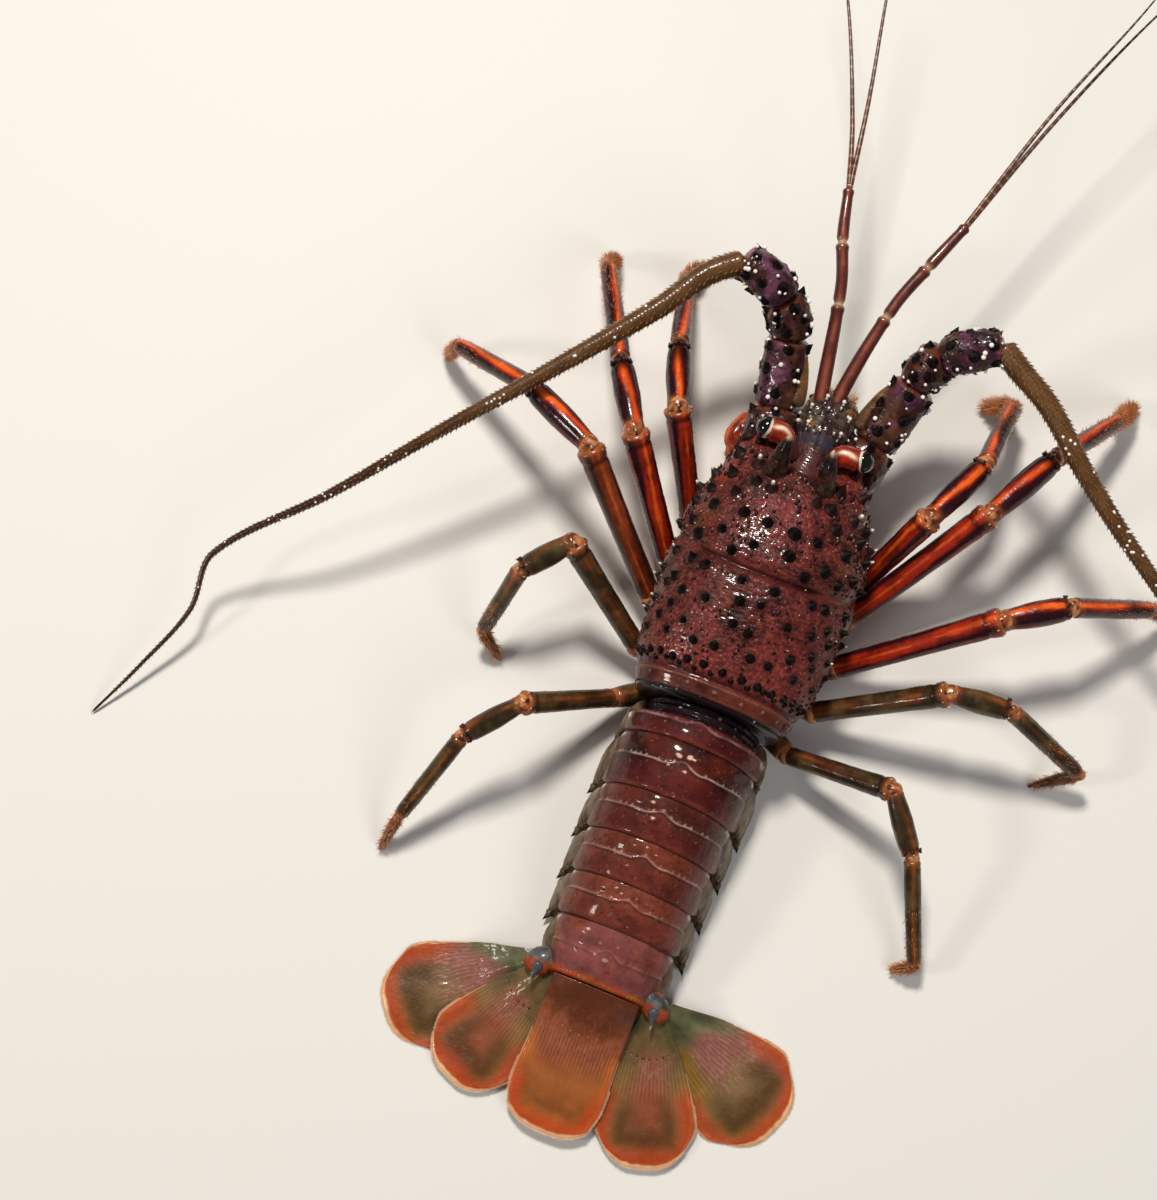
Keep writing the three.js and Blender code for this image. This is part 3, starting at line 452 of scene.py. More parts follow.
FINISHES = {
    "carapace": dict(bumps=[("noise", 0.9, 1.0, (0.4, 1, 0.6)), ("voronoi", 0.7, 0.5)],
                     rough=(0.24, 0.46), coat=0.42, coat_rough=0.08, mottle=0.34, mottle_size=8,
                     specks=(1.5, 0x180807, 0.5), specular=0.16),
    "spine": dict(bumps=[("noise", 0.6, 0.3)], rough=(0.42, 0.6), coat=0.0, mottle=0.25, mottle_size=3,
                  specular=0.16),
    "abdomen": dict(bumps=[("noise", 0.5, 1.0), ("noise", 2.4, 0.4)], rough=(0.4, 0.6), coat=0.3,
                    coat_rough=0.1, mottle=0.4, mottle_size=6, specular=0.08),
    "underside": dict(bumps=[("noise", 1.2, 0.4)], rough=(0.35, 0.55), coat=0.2, mottle=0.25,
                      subsurface=0.15),
    "plate": dict(bumps=[("noise", 0.8, 0.45)], rough=(0.16, 0.34), coat=0.6, coat_rough=0.05,
                  mottle=0.35, mottle_size=4, specular=0.35),
    "fan": dict(bumps=[("noise", 0.7, 0.35), ("noise", 2.6, 0.3)], rough=(0.3, 0.5), coat=0.3,
                coat_rough=0.1, mottle=0.18, mottle_size=6, specular=0.2, subsurface=0.08),
    "eyestalk": dict(bumps=[("noise", 0.8, 0.2)], rough=(0.15, 0.25), coat=0.8, coat_rough=0.05,
                     mottle=0.25, mottle_size=3, subsurface=0.1),
    "cornea": dict(bumps=[("voronoi", 0.25, 0.15)], rough=(0.05, 0.12), coat=1.0, coat_rough=0.03,
                   mottle=0.1, mottle_size=3),
    "antenna": dict(bumps=[("noise", 0.8, 0.6), ("voronoi", 1.1, 0.3)], rough=(0.2, 0.42), coat=0.4,
                    coat_rough=0.07, mottle=0.4, mottle_size=5, specular=0.25),
    "whip": dict(bumps=[("noise", 0.5, 0.4)], rough=(0.3, 0.5), coat=0.3, coat_rough=0.1, mottle=0.3,
                 mottle_size=5, specular=0.2),
    "antennule": dict(bumps=[("noise", 0.6, 0.3)], rough=(0.25, 0.42), coat=0.5, coat_rough=0.08,
                      mottle=0.3, mottle_size=5, specular=0.3),
    "leg": dict(bumps=[("noise", 0.8, 0.3), ("noise", 3.0, 0.25)], rough=(0.16, 0.34), coat=0.36,
                coat_rough=0.07, mottle=0.32, mottle_size=6, specular=0.2),
    "setae": dict(bumps=[("noise", 0.4, 0.2)], rough=(0.4, 0.55), coat=0.05, mottle=0.2,
                  mottle_size=3, sheen=0.15),
}
MAT = {name: material(name + "_finish", **finish) for name, finish in FINISHES.items()}

# Sizes shared with the solids

MIDLINE = [[-148, -1.8], [-110, -2.3], [-78, -2], [-44, -1], [0, -0.3], [30, -0.5], [54, -1]]
SHELL_HALF = [[-44, 27.5], [-30, 32.5], [-10, 34.8], [8, 35.2], [25, 33.5], [42, 28.5], [54, 24.5]]
SHELL_TOP = [[-44, 45.5], [-30, 51.5], [-10, 56.5], [5, 58], [25, 57], [42, 52.5], [54, 46]]
WIDEST, LOWER_EDGE, SQUARE = 29.0, 12.0, 0.9
GROOVE_Y = 3.5
SPINE_ROWS = [
    [-25, [9, 22, 44, 66]], [-20.5, [34, 54, 78]], [-16.5, [5, 48, 68]], [-11, [23, 42, 60, 84]],
    [-7.5, [5, 52, 72]], [-1, [8, 31, 44, 64]], [8.5, [20, 45, 74]], [13, [8, 32, 58]],
    [22, [7, 21, 45, 68]], [29, [33, 56, 80]], [36, [13, 25, 46, 68]], [45, [32, 56]],
]
JOINTS = [-44.3, -58, -78, -94.5, -110.5, -126, -147.5]
TAIL_HALF = [[-44, 25], [-60, 26.5], [-78, 25.5], [-95, 24.5], [-110, 23.7], [-126, 23], [-137, 22.3],
             [-148, 19]]
TAIL_TOP = [[-44, 42.5], [-60, 44.5], [-78, 43.5], [-94, 41], [-110, 37.5], [-126, 33], [-148, 23.5]]
STERNUM_HALF = [[-43.7, 17], [-20, 15.5], [0, 13], [20, 10.5], [36, 9], [50, 6.5]]
LEG_ROOTS = [24, 10.5, -4, -19, -34]


def midline(y):
    return along(MIDLINE, y)


# Carapace


def shell_point(station, angle):
    turn_abs = np.abs(angle)
    bowed = 11 * (turn_abs / 90) ** 2 * bump((station - GROOVE_Y) / 22)
    notched = 6 * bump(angle / 30) * smooth(32, 54, station)
    lobed = 4 * bump((turn_abs - 58) / 20) * smooth(30, 54, station)
    cervical = 2.2 * bump((station - GROOVE_Y) / 3) * smooth(112, 80, turn_abs)
    margin = 1.4 * bump((station + 36) / 1.7)
    sunk = cervical + margin
    half = along(SHELL_HALF, station) - sunk
    rise = along(SHELL_TOP, station) - sunk - WIDEST
    drop = np.maximum(turn_abs - 90, 0) / 28
    turn = np.radians(np.minimum(turn_abs, 90))
    out = np.sin(turn) ** SQUARE * (1 - 0.13 * drop * drop)
    lift = np.maximum(np.cos(turn), 0) ** SQUARE
    z = WIDEST + rise * lift - (WIDEST - LOWER_EDGE) * drop
    x = midline(station) + np.sign(angle) * half * out
    return np.stack([x, station + bowed - notched + lobed, z], -1)


def shell_normal(station, angle):
    station, angle = np.asarray(station, float), np.asarray(angle, float)
    ahead = shell_point(station + 0.5, angle) - shell_point(station - 0.5, angle)
    around = shell_point(station, angle + 1) - shell_point(station, angle - 1)
    return -unit(np.cross(ahead, around))


def shell_spines():
    """Places of the large spines, the same as in the solids."""
    roll = seeded(11)
    found = []
    for station, turns in SPINE_ROWS:
        for turn in [t for angle in turns for t in (-angle, angle)]:
            place = station + 1.6 * (roll() - 0.5)
            leaning = turn + 3 * (roll() - 0.5)
            ahead = float(smooth(-30, 45, place))
            length = (3 + 2.4 * ahead) * (0.85 + 0.3 * roll())
            found.append([place, leaning, length, 1 + 0.45 * ahead])
    return np.array(found)


def carapace():
    rng = np.random.default_rng(5)
    rows, cols, belly = 284, 370, 20
    station = np.linspace(-44, 54, rows)[:, None]
    angle = np.linspace(-118, 118, cols)[None, :]
    angle = np.where(np.abs(angle) < 0.01, 0.01, angle)
    st, an = station + 0 * angle, angle + 0 * station
    base = shell_point(st, an)
    out = normals(base)
    out *= np.sign(out[rows // 2, cols // 2, 2])
    spines = shell_spines()
    big, big_id = cells(base, 2.5, 1)
    small, small_id = cells(base, 1.25, 2)
    wide = 0.55 + 0.65 * big_id
    domes = dome(big / wide) ** 1.2 * (0.2 + 0.3 * big_id)
    central = bump(an / 42) * smooth(-30, -14, st)
    domes += dome(small / 0.55) * (0.3 - 0.16 * central)
    coarse = (clouds(base, 6, 9) - 0.5) * (1 + 0.9 * smooth(12, 36, st))
    combed = base * np.array([0.38, 1, 0.55])
    wrinkle = 1 - np.abs(2 * noise(combed, 0.95, 51) - 1)
    grain = 1 - 0.8 * bump((st - GROOVE_Y) / 1.6) * smooth(112, 80, np.abs(an))
    grain *= smooth(-37.8, -34.6, st) * smooth(118, 108, np.abs(an)) * smooth(54, 52, st)
    feet = shell_point(spines[:, 0], spines[:, 1])
    pit = np.zeros(base.shape[:2])
    for foot, radius in zip(feet, spines[:, 3]):
        near = np.abs(base[:, cols // 2, 1] - foot[1]) < 16
        d = np.linalg.norm(base[near] - foot, axis=-1)
        pit[near] = np.maximum(pit[near], bump(d / (2.0 * radius)))
    crease = bump((st - GROOVE_Y - 0.4) / 0.7) * smooth(48, 34, np.abs(an + 3))
    lip = 0.3 * bump((st - GROOVE_Y + 1.6) / 1.0) * smooth(50, 34, np.abs(an)) - 0.9 * crease
    rear_edge = -42.3
    lip += 0.55 * bump((st + 37.9) / 0.6) + 0.2 * bump((st - rear_edge) / 0.5)
    lip -= 0.4 * smooth(rear_edge, rear_edge - 0.6, st)
    plain = 1 - 0.75 * smooth(14, 32, st)
    fine = (0.12 + 0.16 * central) * plain * (wrinkle - 0.5)
    rise = grain * (domes * 0.7 + 0.6 * coarse + fine) + 0.25 * pit + lip + (1 - grain) * 0.15 * coarse
    skin = base + out * rise[..., None]
    # The shell is closed below by a plain inner floor
    share = np.linspace(0, 1, belly + 2)[1:-1][None, :, None]
    floor = skin[:, -1:] * (1 - share) + skin[:, :1] * share
    floor[..., 2] += 1.5 * np.sin(np.pi * share[..., 0])
    maroon, deep, olive, red = 0x682724, 0x341010, 0x543A1C, 0x741E14
    patch = clouds(base, 14, 3)
    tone = mix(maroon, deep, smooth(0.42, 0.72, patch))
    side = smooth(20, 55, np.abs(an)) * smooth(98, 70, np.abs(an))
    tone = coats(tone,
        (olive, 0.65 * side * bump((st - 14) / 14) * blots(base, 8, 4, 0.35, 0.6)),
        (0x563424, 0.6 * smooth(35, 80, np.abs(an)) * smooth(10, -15, st)),
        (0x33201A, 0.85 * smooth(26, 38, st) * smooth(56, 26, np.abs(an))
         * blots(base, 6, 63, 0.3, 0.55)),
        (0x7A2414, 0.6 * smooth(18, 36, st) * bump((np.abs(an) - 62) / 22)
         * blots(base, 8, 65, 0.35, 0.6)),
        (red, 0.6 * smooth(34, 50, st) * blots(base, 7, 6, 0.35, 0.6)),
        (red, 0.45 * smooth(80, 105, np.abs(an))),
        # painted shadow: a dark patch behind the middle of the groove
        (0x2A0E10, 0.65 * bump((st + 7) / 8) * bump((an - 12) / 26)),
        (0x7A3440, 0.5 * bump((st + 14) / 13) * bump((an - 38) / 24) * smooth(0.3, 0.6, patch)),
        (0x6E2230, 0.4 * bump((st - 24) / 10) * bump(an / 30) * blots(base, 9, 61, 0.35, 0.6)))
    top = np.clip(domes / 0.35, 0, 1) * grain
    tone = coats(tone,
        (0x7E3A2E, 0.3 * top),
        (mix(0x8E4A40, 0x5E2A1E, small_id), 0.5 * grain * smooth(0.5, 0.25, small)),
        (0x200A09, 0.42 * grain * smooth(0.55, 0.8, small)),
        (0x84402F, (0.15 + 0.25 * central) * plain * grain * smooth(0.7, 0.95, wrinkle)),
        (0x1C0A08, 0.5 * plain * grain * smooth(0.45, 0.15, wrinkle)),
        (0x24120F, 0.6 * grain * blots(base, 3.2, 67, 0.52, 0.7)
         * (0.4 + 0.6 * smooth(10, 30, st))))
    # Painted light: the front and the rear of the shell are made lighter, where they turn away from the
    # lamps
    tone = tone * (1 + 0.38 * smooth(6, 26, st) + 0.24 * smooth(-12, -28, st))[..., None]
    band = 1 - smooth(-38.4, -36.4, st)
    tone = coats(tone,
        (mix(0x58261C, 0x34130F, blots(base, 5, 8, 0.4, 0.65)), band),
        # painted highlight: a pale line along the raised lip in front of the rear band
        (0x7A4838, 0.7 * bump((st + 37.9) / 0.6)))
    behind = smooth(rear_edge + 0.1, rear_edge - 0.4, st)
    tone = coats(tone,
        (0x0E0A0E, 0.94 * behind),
        (0x5A3428, 0.5 * bump((st - rear_edge - 0.2) / 0.35)))
    # Painted reflection: pale bluish glints scattered over the dark membrane behind the shell's rear edge
    wet, which = cells(base, 1.9, 91)
    tone = mix(tone, 0xA6A8B6, 0.8 * behind * smooth(0.45, 0.25, wet) * (which > 0.55))
    # Painted shade: a dark line in the cervical crease and in the groove before the rear band
    line = bump((st + 36) / 0.9) + 1.1 * crease
    tone = mix(tone, 0x120607, np.clip(0.75 * line, 0, 1))
    shift = 0.7 * np.sin(np.floor((an + 9) / 18) * 2.4)
    dot = bump((st + 39.7 + 0.5 * shift) / 0.42) * bump(((an + 9) % 18 - 9) / 0.9)
    dot *= smooth(80, 66, np.abs(an))
    tone = coats(tone,
        (0x8E7C70, np.clip(1.1 * dot, 0, 0.7)),
        (0x0A0304, np.clip(1.25 * pit * (1 - 0.4 * smooth(20, 34, st)), 0, 0.93)),
        (0xA07868, 0.25 * (small_id > 0.93) * cone(small / 0.5) * grain))
    grid = np.concatenate([skin, floor], 1)
    under = np.broadcast_to(srgb(0x8A5A40), (rows, belly, 3))
    shell = Piece()
    shell.tube(grid, np.concatenate([tone, under], 1))
    # Large spines: blackish, many in front with pale tips
    piece = Piece()
    out_dir = shell_normal(spines[:, 0], spines[:, 1])
    direction = unit(out_dir + np.array([0, 0.22, 0.2]))
    wide = rng.uniform(0.85, 1.2, len(spines))
    edge_on = np.abs(spines[:, 1]) > 60
    pale = (spines[:, 0] > 24) & (rng.random(len(spines)) < 0.45)
    pale |= edge_on & (rng.random(len(spines)) < 0.4)
    black = mix(0x090303, 0x2A1310, smooth(20, 34, spines[:, 0]) * rng.uniform(0.3, 1, len(spines)))
    piece.thorns(feet, direction, spines[:, 2] * 0.78, spines[:, 3] * 1.42 * wide, black,
                 either(pale, 0xE8DCCC, 0x1A0B0A), 0.66, sides=14, rings=11, bend=0.15, flare=0.22)
    piece.beads((feet + direction * (spines[:, 2:3] * 0.7))[pale],
                np.where(edge_on[pale], 0.4, rng.uniform(0.45, 0.95, pale.sum())), 0xEAE0D6)
    # Smaller spinules scattered between them
    small_at, small_turn = rng.uniform(-31, 50, 520), rng.uniform(-104, 104, 520)
    foot = shell_point(small_at, small_turn)
    keep = np.min(np.linalg.norm(foot[:, None] - feet[None], axis=-1), axis=1) > 3.0
    keep &= np.abs(small_at - GROOVE_Y) > 2.2
    foot, small_at, small_turn = foot[keep], small_at[keep], small_turn[keep]
    aim = unit(shell_normal(small_at, small_turn) * 0.6 + np.array([0, 1.0, 0]))
    size = rng.uniform(0.7, 1.0, len(foot)) * (1 + 0.5 * smooth(0, 45, small_at))
    light = rng.random(len(foot)) < 0.3
    piece.thorns(foot, aim, 1.3 * size, 0.46 * size, 0x1A090A,
                 either(light, 0xC09A80, 0x3A1614), 0.55, sides=6, rings=5, bend=0.1)
    # Tiny pale knobs, thickest in front: partly pale tubercles, partly painted highlights that stand in
    # for small glints
    count = 150
    knob_at, knob_turn = 52 - 70 * rng.random(count) ** 1.5, rng.uniform(-100, 100, count)
    piece.beads(shell_point(knob_at, knob_turn) + 0.25 * shell_normal(knob_at, knob_turn),
                rng.uniform(0.14, 0.34, count), 0xC8B0A4)
    # The close row before the rear margin
    turns = np.arange(-77, 78, 5.5)
    first = np.arange(len(turns)) % 2 == 0
    where = np.where(first, -32.5, -34.0)
    where = where + rng.uniform(-0.5, 0.5, len(turns))
    foot = shell_point(where, turns)
    aim = unit(shell_normal(where, turns) + np.array([0, 0.1, 0.2]))
    strong = np.where(first, 1.0, 0.7)
    piece.thorns(foot, aim, 2.0 * strong, 1.4 * strong, 0x090303, 0x2A1210, 0.7, sides=12,
                 rings=8, flare=0.2)
    # Strong spines along the front margin
    for turn, length, radius in ((62, 8.5, 2.2), (84, 5, 1.5), (44, 4.5, 1.4)):
        for s in (-1, 1):
            piece.thorns(shell_point(52.0, s * float(turn)), [0.25 * s, 1, 0.12], length, radius * 0.92,
                         0x2A1012, 0xC8A888, 0.72, sides=12, rings=11, bend=0.12)
    piece.build("carapace_spines", MAT["spine"])
    # The two horns over the eyes
    for s in (-1, 1):
        ys = np.array([39, 43, 46, 48.5, 50.5, 52.2, 52.9, 53.1])
        zs = along([[39, 43.9], [41, 46.5], [46, 53], [50, 58.5], [53.1, 63.1]], ys)
        shift = np.interp(ys, [41, 46, 50, 53], [0, 1, 2, 3])
        r = along([[39, 5.3], [41, 5.4], [46, 4.4], [50, 2.8], [52.2, 1.3], [53.1, 0.35]], ys)
        path = np.column_stack([midline(ys) + s * 9.5 * (1 - 0.05 * shift), ys, zs, r])
        fine, run = curve(path, 0.4)
        flat, sideways, deg = rings(fine[:, :3], fine[:, 3] * 0.87, fine[:, 3] * 0.97, 48)
        keel = 0.12 * bump((deg - 90) / 16)[None, :] * fine[:, 3:4]
        lumps = 0.25 * (noise(flat, 1.1, 5) - 0.5) + 0.7 * (clouds(flat, 3.4, 25) - 0.5)
        grid = flat + sideways * (keel + lumps)[..., None]
        length = run[:, None] / run[-1]
        shade = coats(0x1C0D0A,
            (0x44221A, blots(grid, 3, 5, 0.4, 0.65)),
            (0x4A3420, 0.5 * blots(grid, 2.4, 35, 0.5, 0.7)),
            (0x120808, 0.75 * bump((length - 0.8) / 0.1)),
            (0xC8A888, smooth(0.9, 0.99, length)))
        shell.tube(grid, shade)
    shell.build("carapace_fine", MAT["carapace"], ["carapace"])


# Underside of the thorax


def thorax():
    piece = Piece()
    y = np.linspace(-43.7, 50, 130)
    half = along(STERNUM_HALF, y)
    shape = np.array([[-0.75, 0], [-0.2, 0], [0.2, 0], [0.75, 0], [0.93, 0.9], [1, 3], [1, 8.5],
                      [0.85, 11.7], [0, 11.7], [-0.85, 11.7], [-1, 8.5], [-1, 3], [-0.93, 0.9]])
    turn = np.linspace(0, len(shape), 96, endpoint=False)
    closed = np.vstack([shape, shape[:1]])
    ring = np.column_stack([np.interp(turn, np.arange(len(closed)), closed[:, i]) for i in (0, 1)])
    grid = np.stack([half[:, None] * ring[None, :, 0], y[:, None] + 0 * ring[None, :, 0],
                     0 * half[:, None] + ring[None, :, 1]], -1)
    roots = np.array(LEG_ROOTS) + 7
    seam = np.max([bump((grid[..., 1] - r - 0.35 * np.abs(grid[..., 0])) / 1.1) for r in roots], axis=0)
    lower = smooth(4, 0.5, grid[..., 2])
    grid[..., 2] += 0.7 * seam * lower
    shade = coats(0xB07848,
        (0xD8B088, blots(grid, 8, 2, 0.4, 0.65)),
        (0x6A2A18, 0.8 * seam * lower),
        (0xA0461E, 0.5 * smooth(0.6, 0.95, np.abs(grid[..., 0]) / half[:, None])))
    piece.tube(grid, shade)
    piece.build("thorax_underside_fine", MAT["underside"], ["thorax_underside"])


# Abdomen

PROFILE = [[0, -1.7], [0.1, -0.5], [0.3, 0.05], [0.44, -0.15], [0.52, 0.2], [0.85, 0.55], [1, 0.5]]
FIRST_PROFILE = [[0, -3.2], [0.44, -2.6], [0.52, 0.2], [0.78, 0.5], [1, 0.2]]
PLEURON_SIZE = [0.55, 0.96, 1, 1, 0.98, 0.7]


def abdomen_segment(number):
    piece = Piece()
    front, rear = JOINTS[number - 1], JOINTS[number] + 0.3
    long = front - rear
    share = np.linspace(0, 1, max(46, int(long / 0.3)))
    turn = np.linspace(-90, 90, 205)
    # The rear margin laps over the next segment
    lap = (1.5 if number < 6 else 0) * smooth(88, 64, np.abs(turn))
    y = (front - long * share)[:, None] - share[:, None] ** 4 * lap[None]
    grow = along(FIRST_PROFILE if number == 1 else PROFILE, share)
    grow = (grow - 0.45 * smooth(0.965, 1.0, share))[:, None]
    half = along(TAIL_HALF, y) + grow
    rise = along(TAIL_TOP, y) + grow - 7
    rad = np.radians(turn)
    out = np.sign(turn) * np.abs(np.sin(rad)) ** 0.88
    lift = np.maximum(np.cos(rad), 0) ** 0.88
    base = np.stack([midline(y) + half * out[None], y, 7 + rise * lift[None]], -1)
    n = normals(base)
    n = n * np.sign(n[len(share) // 2, 102, 2])
    arc = turn[None] * half / 57.3 * 1.15
    s, t = share[:, None] + 0 * turn[None], turn[None] + 0 * share[:, None]
    centre = 0.5 if number > 1 else 0.6
    wave = 0.012 * np.cos(np.radians(t) * 6) + 0.075 * bump(t / 4.5) - 0.03 * bump((np.abs(t) - 12) / 5)
    crest = (s - centre + wave) * long
    upper = smooth(78, 58, np.abs(t))
    place = np.stack([arc + 0 * crest, 0 * crest, 0 * crest + number * 9.0], -1)
    uneven = 0.3 + 0.7 * smooth(0.3, 0.6, noise(place, 5, 6))
    ridge = bump(crest / 0.26) * upper * uneven
    knob = bump((crest + 0.55) / 0.42) * (0.5 + 0.5 * np.cos(arc * 2 * np.pi / 2.9)) ** 6
    knob *= smooth(66, 50, np.abs(t)) * smooth(0.35, 0.6, noise(place, 2.9, 16))
    bead = np.clip(ridge + knob, 0, 1) * (0.55 if number == 6 else 1)
    pits, _ = cells(base, 1.3, 20 + number)
    height = 0.32 * bead - 0.06 * cone(pits / 0.45) + 0.3 * (clouds(base, 7, number) - 0.5)
    if number == 1:
        membrane = 1 - smooth(0.42, 0.5, s)
        height += membrane * (0.25 * np.sin(s * long * 2.6) + 0.2 * (noise(base, 1.2, 4) - 0.5))
        height += 0.35 * bump((s - 0.56) * long / 0.8)
    if number == 6:
        height += 0.35 * bump((s - 0.965) * long / 0.5) * (0.5 + 0.5 * np.cos(arc * 2 * np.pi / 2.2))
    skin = base + n * height[..., None]
    dark, brown, wine = 0x280C0A, 0x501D14, 0x56181A
    patch = clouds(base, 12, 40 + number)
    shade = mix(brown, dark, smooth(0.35, 0.7, patch))
    # Painted light: segments further back are made lighter, as light and wet reflections fall on them
    painted_light_rear = min(1.0, max(0.0, (number - 2) / 3.5))
    shade = coats(shade,
        (0x80402F, 0.75 * painted_light_rear * smooth(0.1, 0.5, patch + 0.25)),
        (wine, 0.5 * smooth(0.52, 0.8, s) * (1 - 0.4 * painted_light_rear)),
        (0x1C0A0A, 0.6 * bump((crest - 0.65) / 0.45) * upper),
        (0x6A3226, 0.55 * smooth(0.91, 0.97, s)),
        (0x2A1412, 0.5 * smooth(0.12, 0.04, s)))
    grainy = noise(base * [1, 1.5, 1], 0.9, 80 + number) + noise(base * [0.5, 1.6, 1], 2.2, 81 + number)
    shade = shade * (0.72 + 0.28 * grainy)[..., None]
    speck, who = cells(base, 1.1, 90 + number)
    shade = coats(shade,
        (0x8A5A4C, 0.5 * (who > 0.86) * smooth(0.42, 0.25, speck)),
        (0x140606, 0.6 * (who < 0.16) * smooth(0.5, 0.3, speck)))
    flank = smooth(52, 74, np.abs(t))
    shade = coats(shade,
        (0x664A32, 0.75 * flank * (0.5 + 0.5 * smooth(0.3, 0.7, patch))),
        (0x7A5A44, 0.6 * bump(crest / 0.5) * smooth(50, 70, np.abs(t))),
        (mix(0xB89890, 0xA06E60, painted_light_rear), np.clip(0.85 * bead, 0, 1)))
    if number > 1:
        rng = np.random.default_rng(300 + number)
        # Pale spots near the midline: those in front of the ridge are the shell's own spots, the two just
        # behind it are painted glints
        for dx, ds, r in ((-3.6, 0.3, 0.8), (-5.4, 0.29, 0.45), (0.6, 0.27, 0.9), (-0.6, 0.6, 0.6),
                          (-4.2, 0.585, 0.55), (3.6, 0.33, 0.4)):
            dx += rng.uniform(-1.8, 1.8)
            ds += rng.uniform(-0.06, 0.06)
            r *= rng.uniform(-0.1, 1.15)
            if r < 0.12:
                continue
            where = np.hypot((base[..., 0] - midline(y) - dx) * 0.65, (s - ds) * long)
            ragged = where + 0.7 * (noise(base, 0.8, number) - 0.5)
            shade = mix(shade, 0xD8B4A0, 0.9 * smooth(r, 0.6 * r, ragged))
    spots, who = cells(base, 3.1, 60 + number)
    shade = mix(shade, 0xC8B098, 0.6 * (who > 0.72) * smooth(0.34, 0.2, spots) * smooth(0.5, 0.7, s))
    if number == 1:
        shade = mix(shade, 0x0E0A10, 0.9 * membrane)
        # Painted reflection: pale bluish glints scattered over the dark membrane
        dots, who = cells(base, 2.4, 71)
        shade = coats(shade,
            (0xA8A8B4, 0.85 * membrane * smooth(0.6, 0.4, dots) * (who > 0.35) * bump((s - 0.24) / 0.14)),
            (0x5E2428, 0.85 * bump((s - 0.56) * long / 0.8)))
    if number == 6:
        shade = mix(shade, 0x844C4E, 0.55 * (1 - flank) * smooth(0.3, 0.7, clouds(base, 8, 46) + 0.06))
        rust = smooth(0.86, 0.97, s + 0.07 * (noise(base, 3, 7) - 0.5))
        shade = mix(shade, mix(0xA8401C, 0x9A5C20, blots(base, 6, 17, 0.4, 0.7)), 0.9 * rust)
    # Painted highlight: a white glint on the upper front of each flank
    white = bump((np.abs(t) - 70) / 5) * bump((s - (0.12 if number > 1 else 0.62)) * long)
    shade = mix(shade, 0xDCD4C8, 0.9 * np.clip(white * 1.3, 0, 1)
                * smooth(0.25, 0.5, noise(base, 1.6, 9)))
    belly = np.linspace(1, -1, 34)[1:-1]
    low = np.stack([midline(y[:, :1]) + half[:, :1] * belly[None], y[:, :1] + 0 * belly[None],
                    7 + 2.2 * (1 - belly[None] ** 2) * np.sin(np.pi * share)[:, None] ** 0.5
                    - 1.6 * bump((share - 0.3) / 0.09)[:, None] * (1 - belly[None] ** 6)], -1)
    pale = mix(0xB08058, 0xD0B090, blots(low, 5, 3, 0.4, 0.6))
    piece.tube(np.concatenate([skin, low], 1), np.concatenate([shade, pale], 1))
    for side in (-1, 1):
        pleuron(piece, number, front, long, side)
        if 1 < number < 6:
            swimmeret(piece, front - 4, side)
    piece.build("abdomen_%d_fine" % number, MAT["abdomen"], ["abdomen_%d" % number])


def pleuron(piece, number, front, long, side):
    """A side plate with a toothed rear edge."""
    size = PLEURON_SIZE[number - 1]
    w = np.linspace(0, 1, 48)
    ahead = np.interp(w, [0, 0.5, 0.82, 0.96, 1],
                      long * np.array([0.12, 0.14, 0.36, 0.72, 1]) + [0, 0, 0, 0, 3.2])
    back = np.interp(w, [0, 0.4, 0.52, 0.6, 0.74, 0.8, 1],
                     long * np.array([0.9, 0.9, 1, 0.94, 1, 0.98, 1]) + [0, 0, 1.4, 0, 2.4, 0, 3.6])
    back = back + 0.35 * np.abs(np.sin(w * 34)) * smooth(0.3, 0.5, w)
    v = np.linspace(0, 1, 32)
    u = ahead[:, None] + (back - ahead)[:, None] * v[None]
    top = 7 + 0.4 * (float(along(TAIL_TOP, front)) - 7)
    z = top - (top - 1.8) * size * w[:, None] + 0 * u
    y = front - u
    lean = 5.8 * ((top - z) / (top - 1.8)) - 3
    swell = 1.5 * np.sin(np.pi * v)[None] ** 0.7 * np.sin(np.pi * w ** 0.8)[:, None] ** 0.8
    edge = np.minimum(np.minimum(v, 1 - v) * 9, 1) ** 0.5 * np.minimum((1 - w) * 12, 1)[:, None] ** 0.5
    half = along(TAIL_HALF, y)
    thick = 0.9 * (0.35 + 0.65 * edge)
    ribs = 0.22 * np.sin(v * 17 + 5 * w[:, None]) * smooth(0.15, 0.4, w)[:, None]
    outer = np.stack([midline(y) + side * (half + lean + thick + swell + ribs * 0.5), y, z], -1)
    inner = np.stack([midline(y) + side * (half + lean - thick), y, z], -1)
    shade = coats(0x4E3A28,
        (0x766048, blots(outer, 4, 80 + number, 0.35, 0.7)),
        (0x4A3024, 0.6 * smooth(0.25, 0.0, w)[:, None]),
        (0x2A1A10, 0.75 * smooth(0.84, 0.98, v)),
        (0x2A1A10, 0.6 * smooth(0.1, 0.0, v)),
        (0x4A2A16, 0.6 * smooth(0.75, 1, w)[:, None]))
    piece.sheet(outer, inner, shade, mix(shade, 0x9A6A48, 0.5))
    # Dark teeth at the rear corner
    for row, length, radius in ((0.97, 3.4, 1.2), (0.72, 2.2, 0.9), (0.5, 1.7, 0.7)):
        i = int(row * 47)
        foot = outer[i, 28] * 0.5 + inner[i, 28] * 0.5
        piece.thorns(foot, [0.5 * side, -1, 0.04], length * size, radius, 0x5A4630, 0x140A06, 0.3,
                     sides=8, rings=7, bend=0.05)


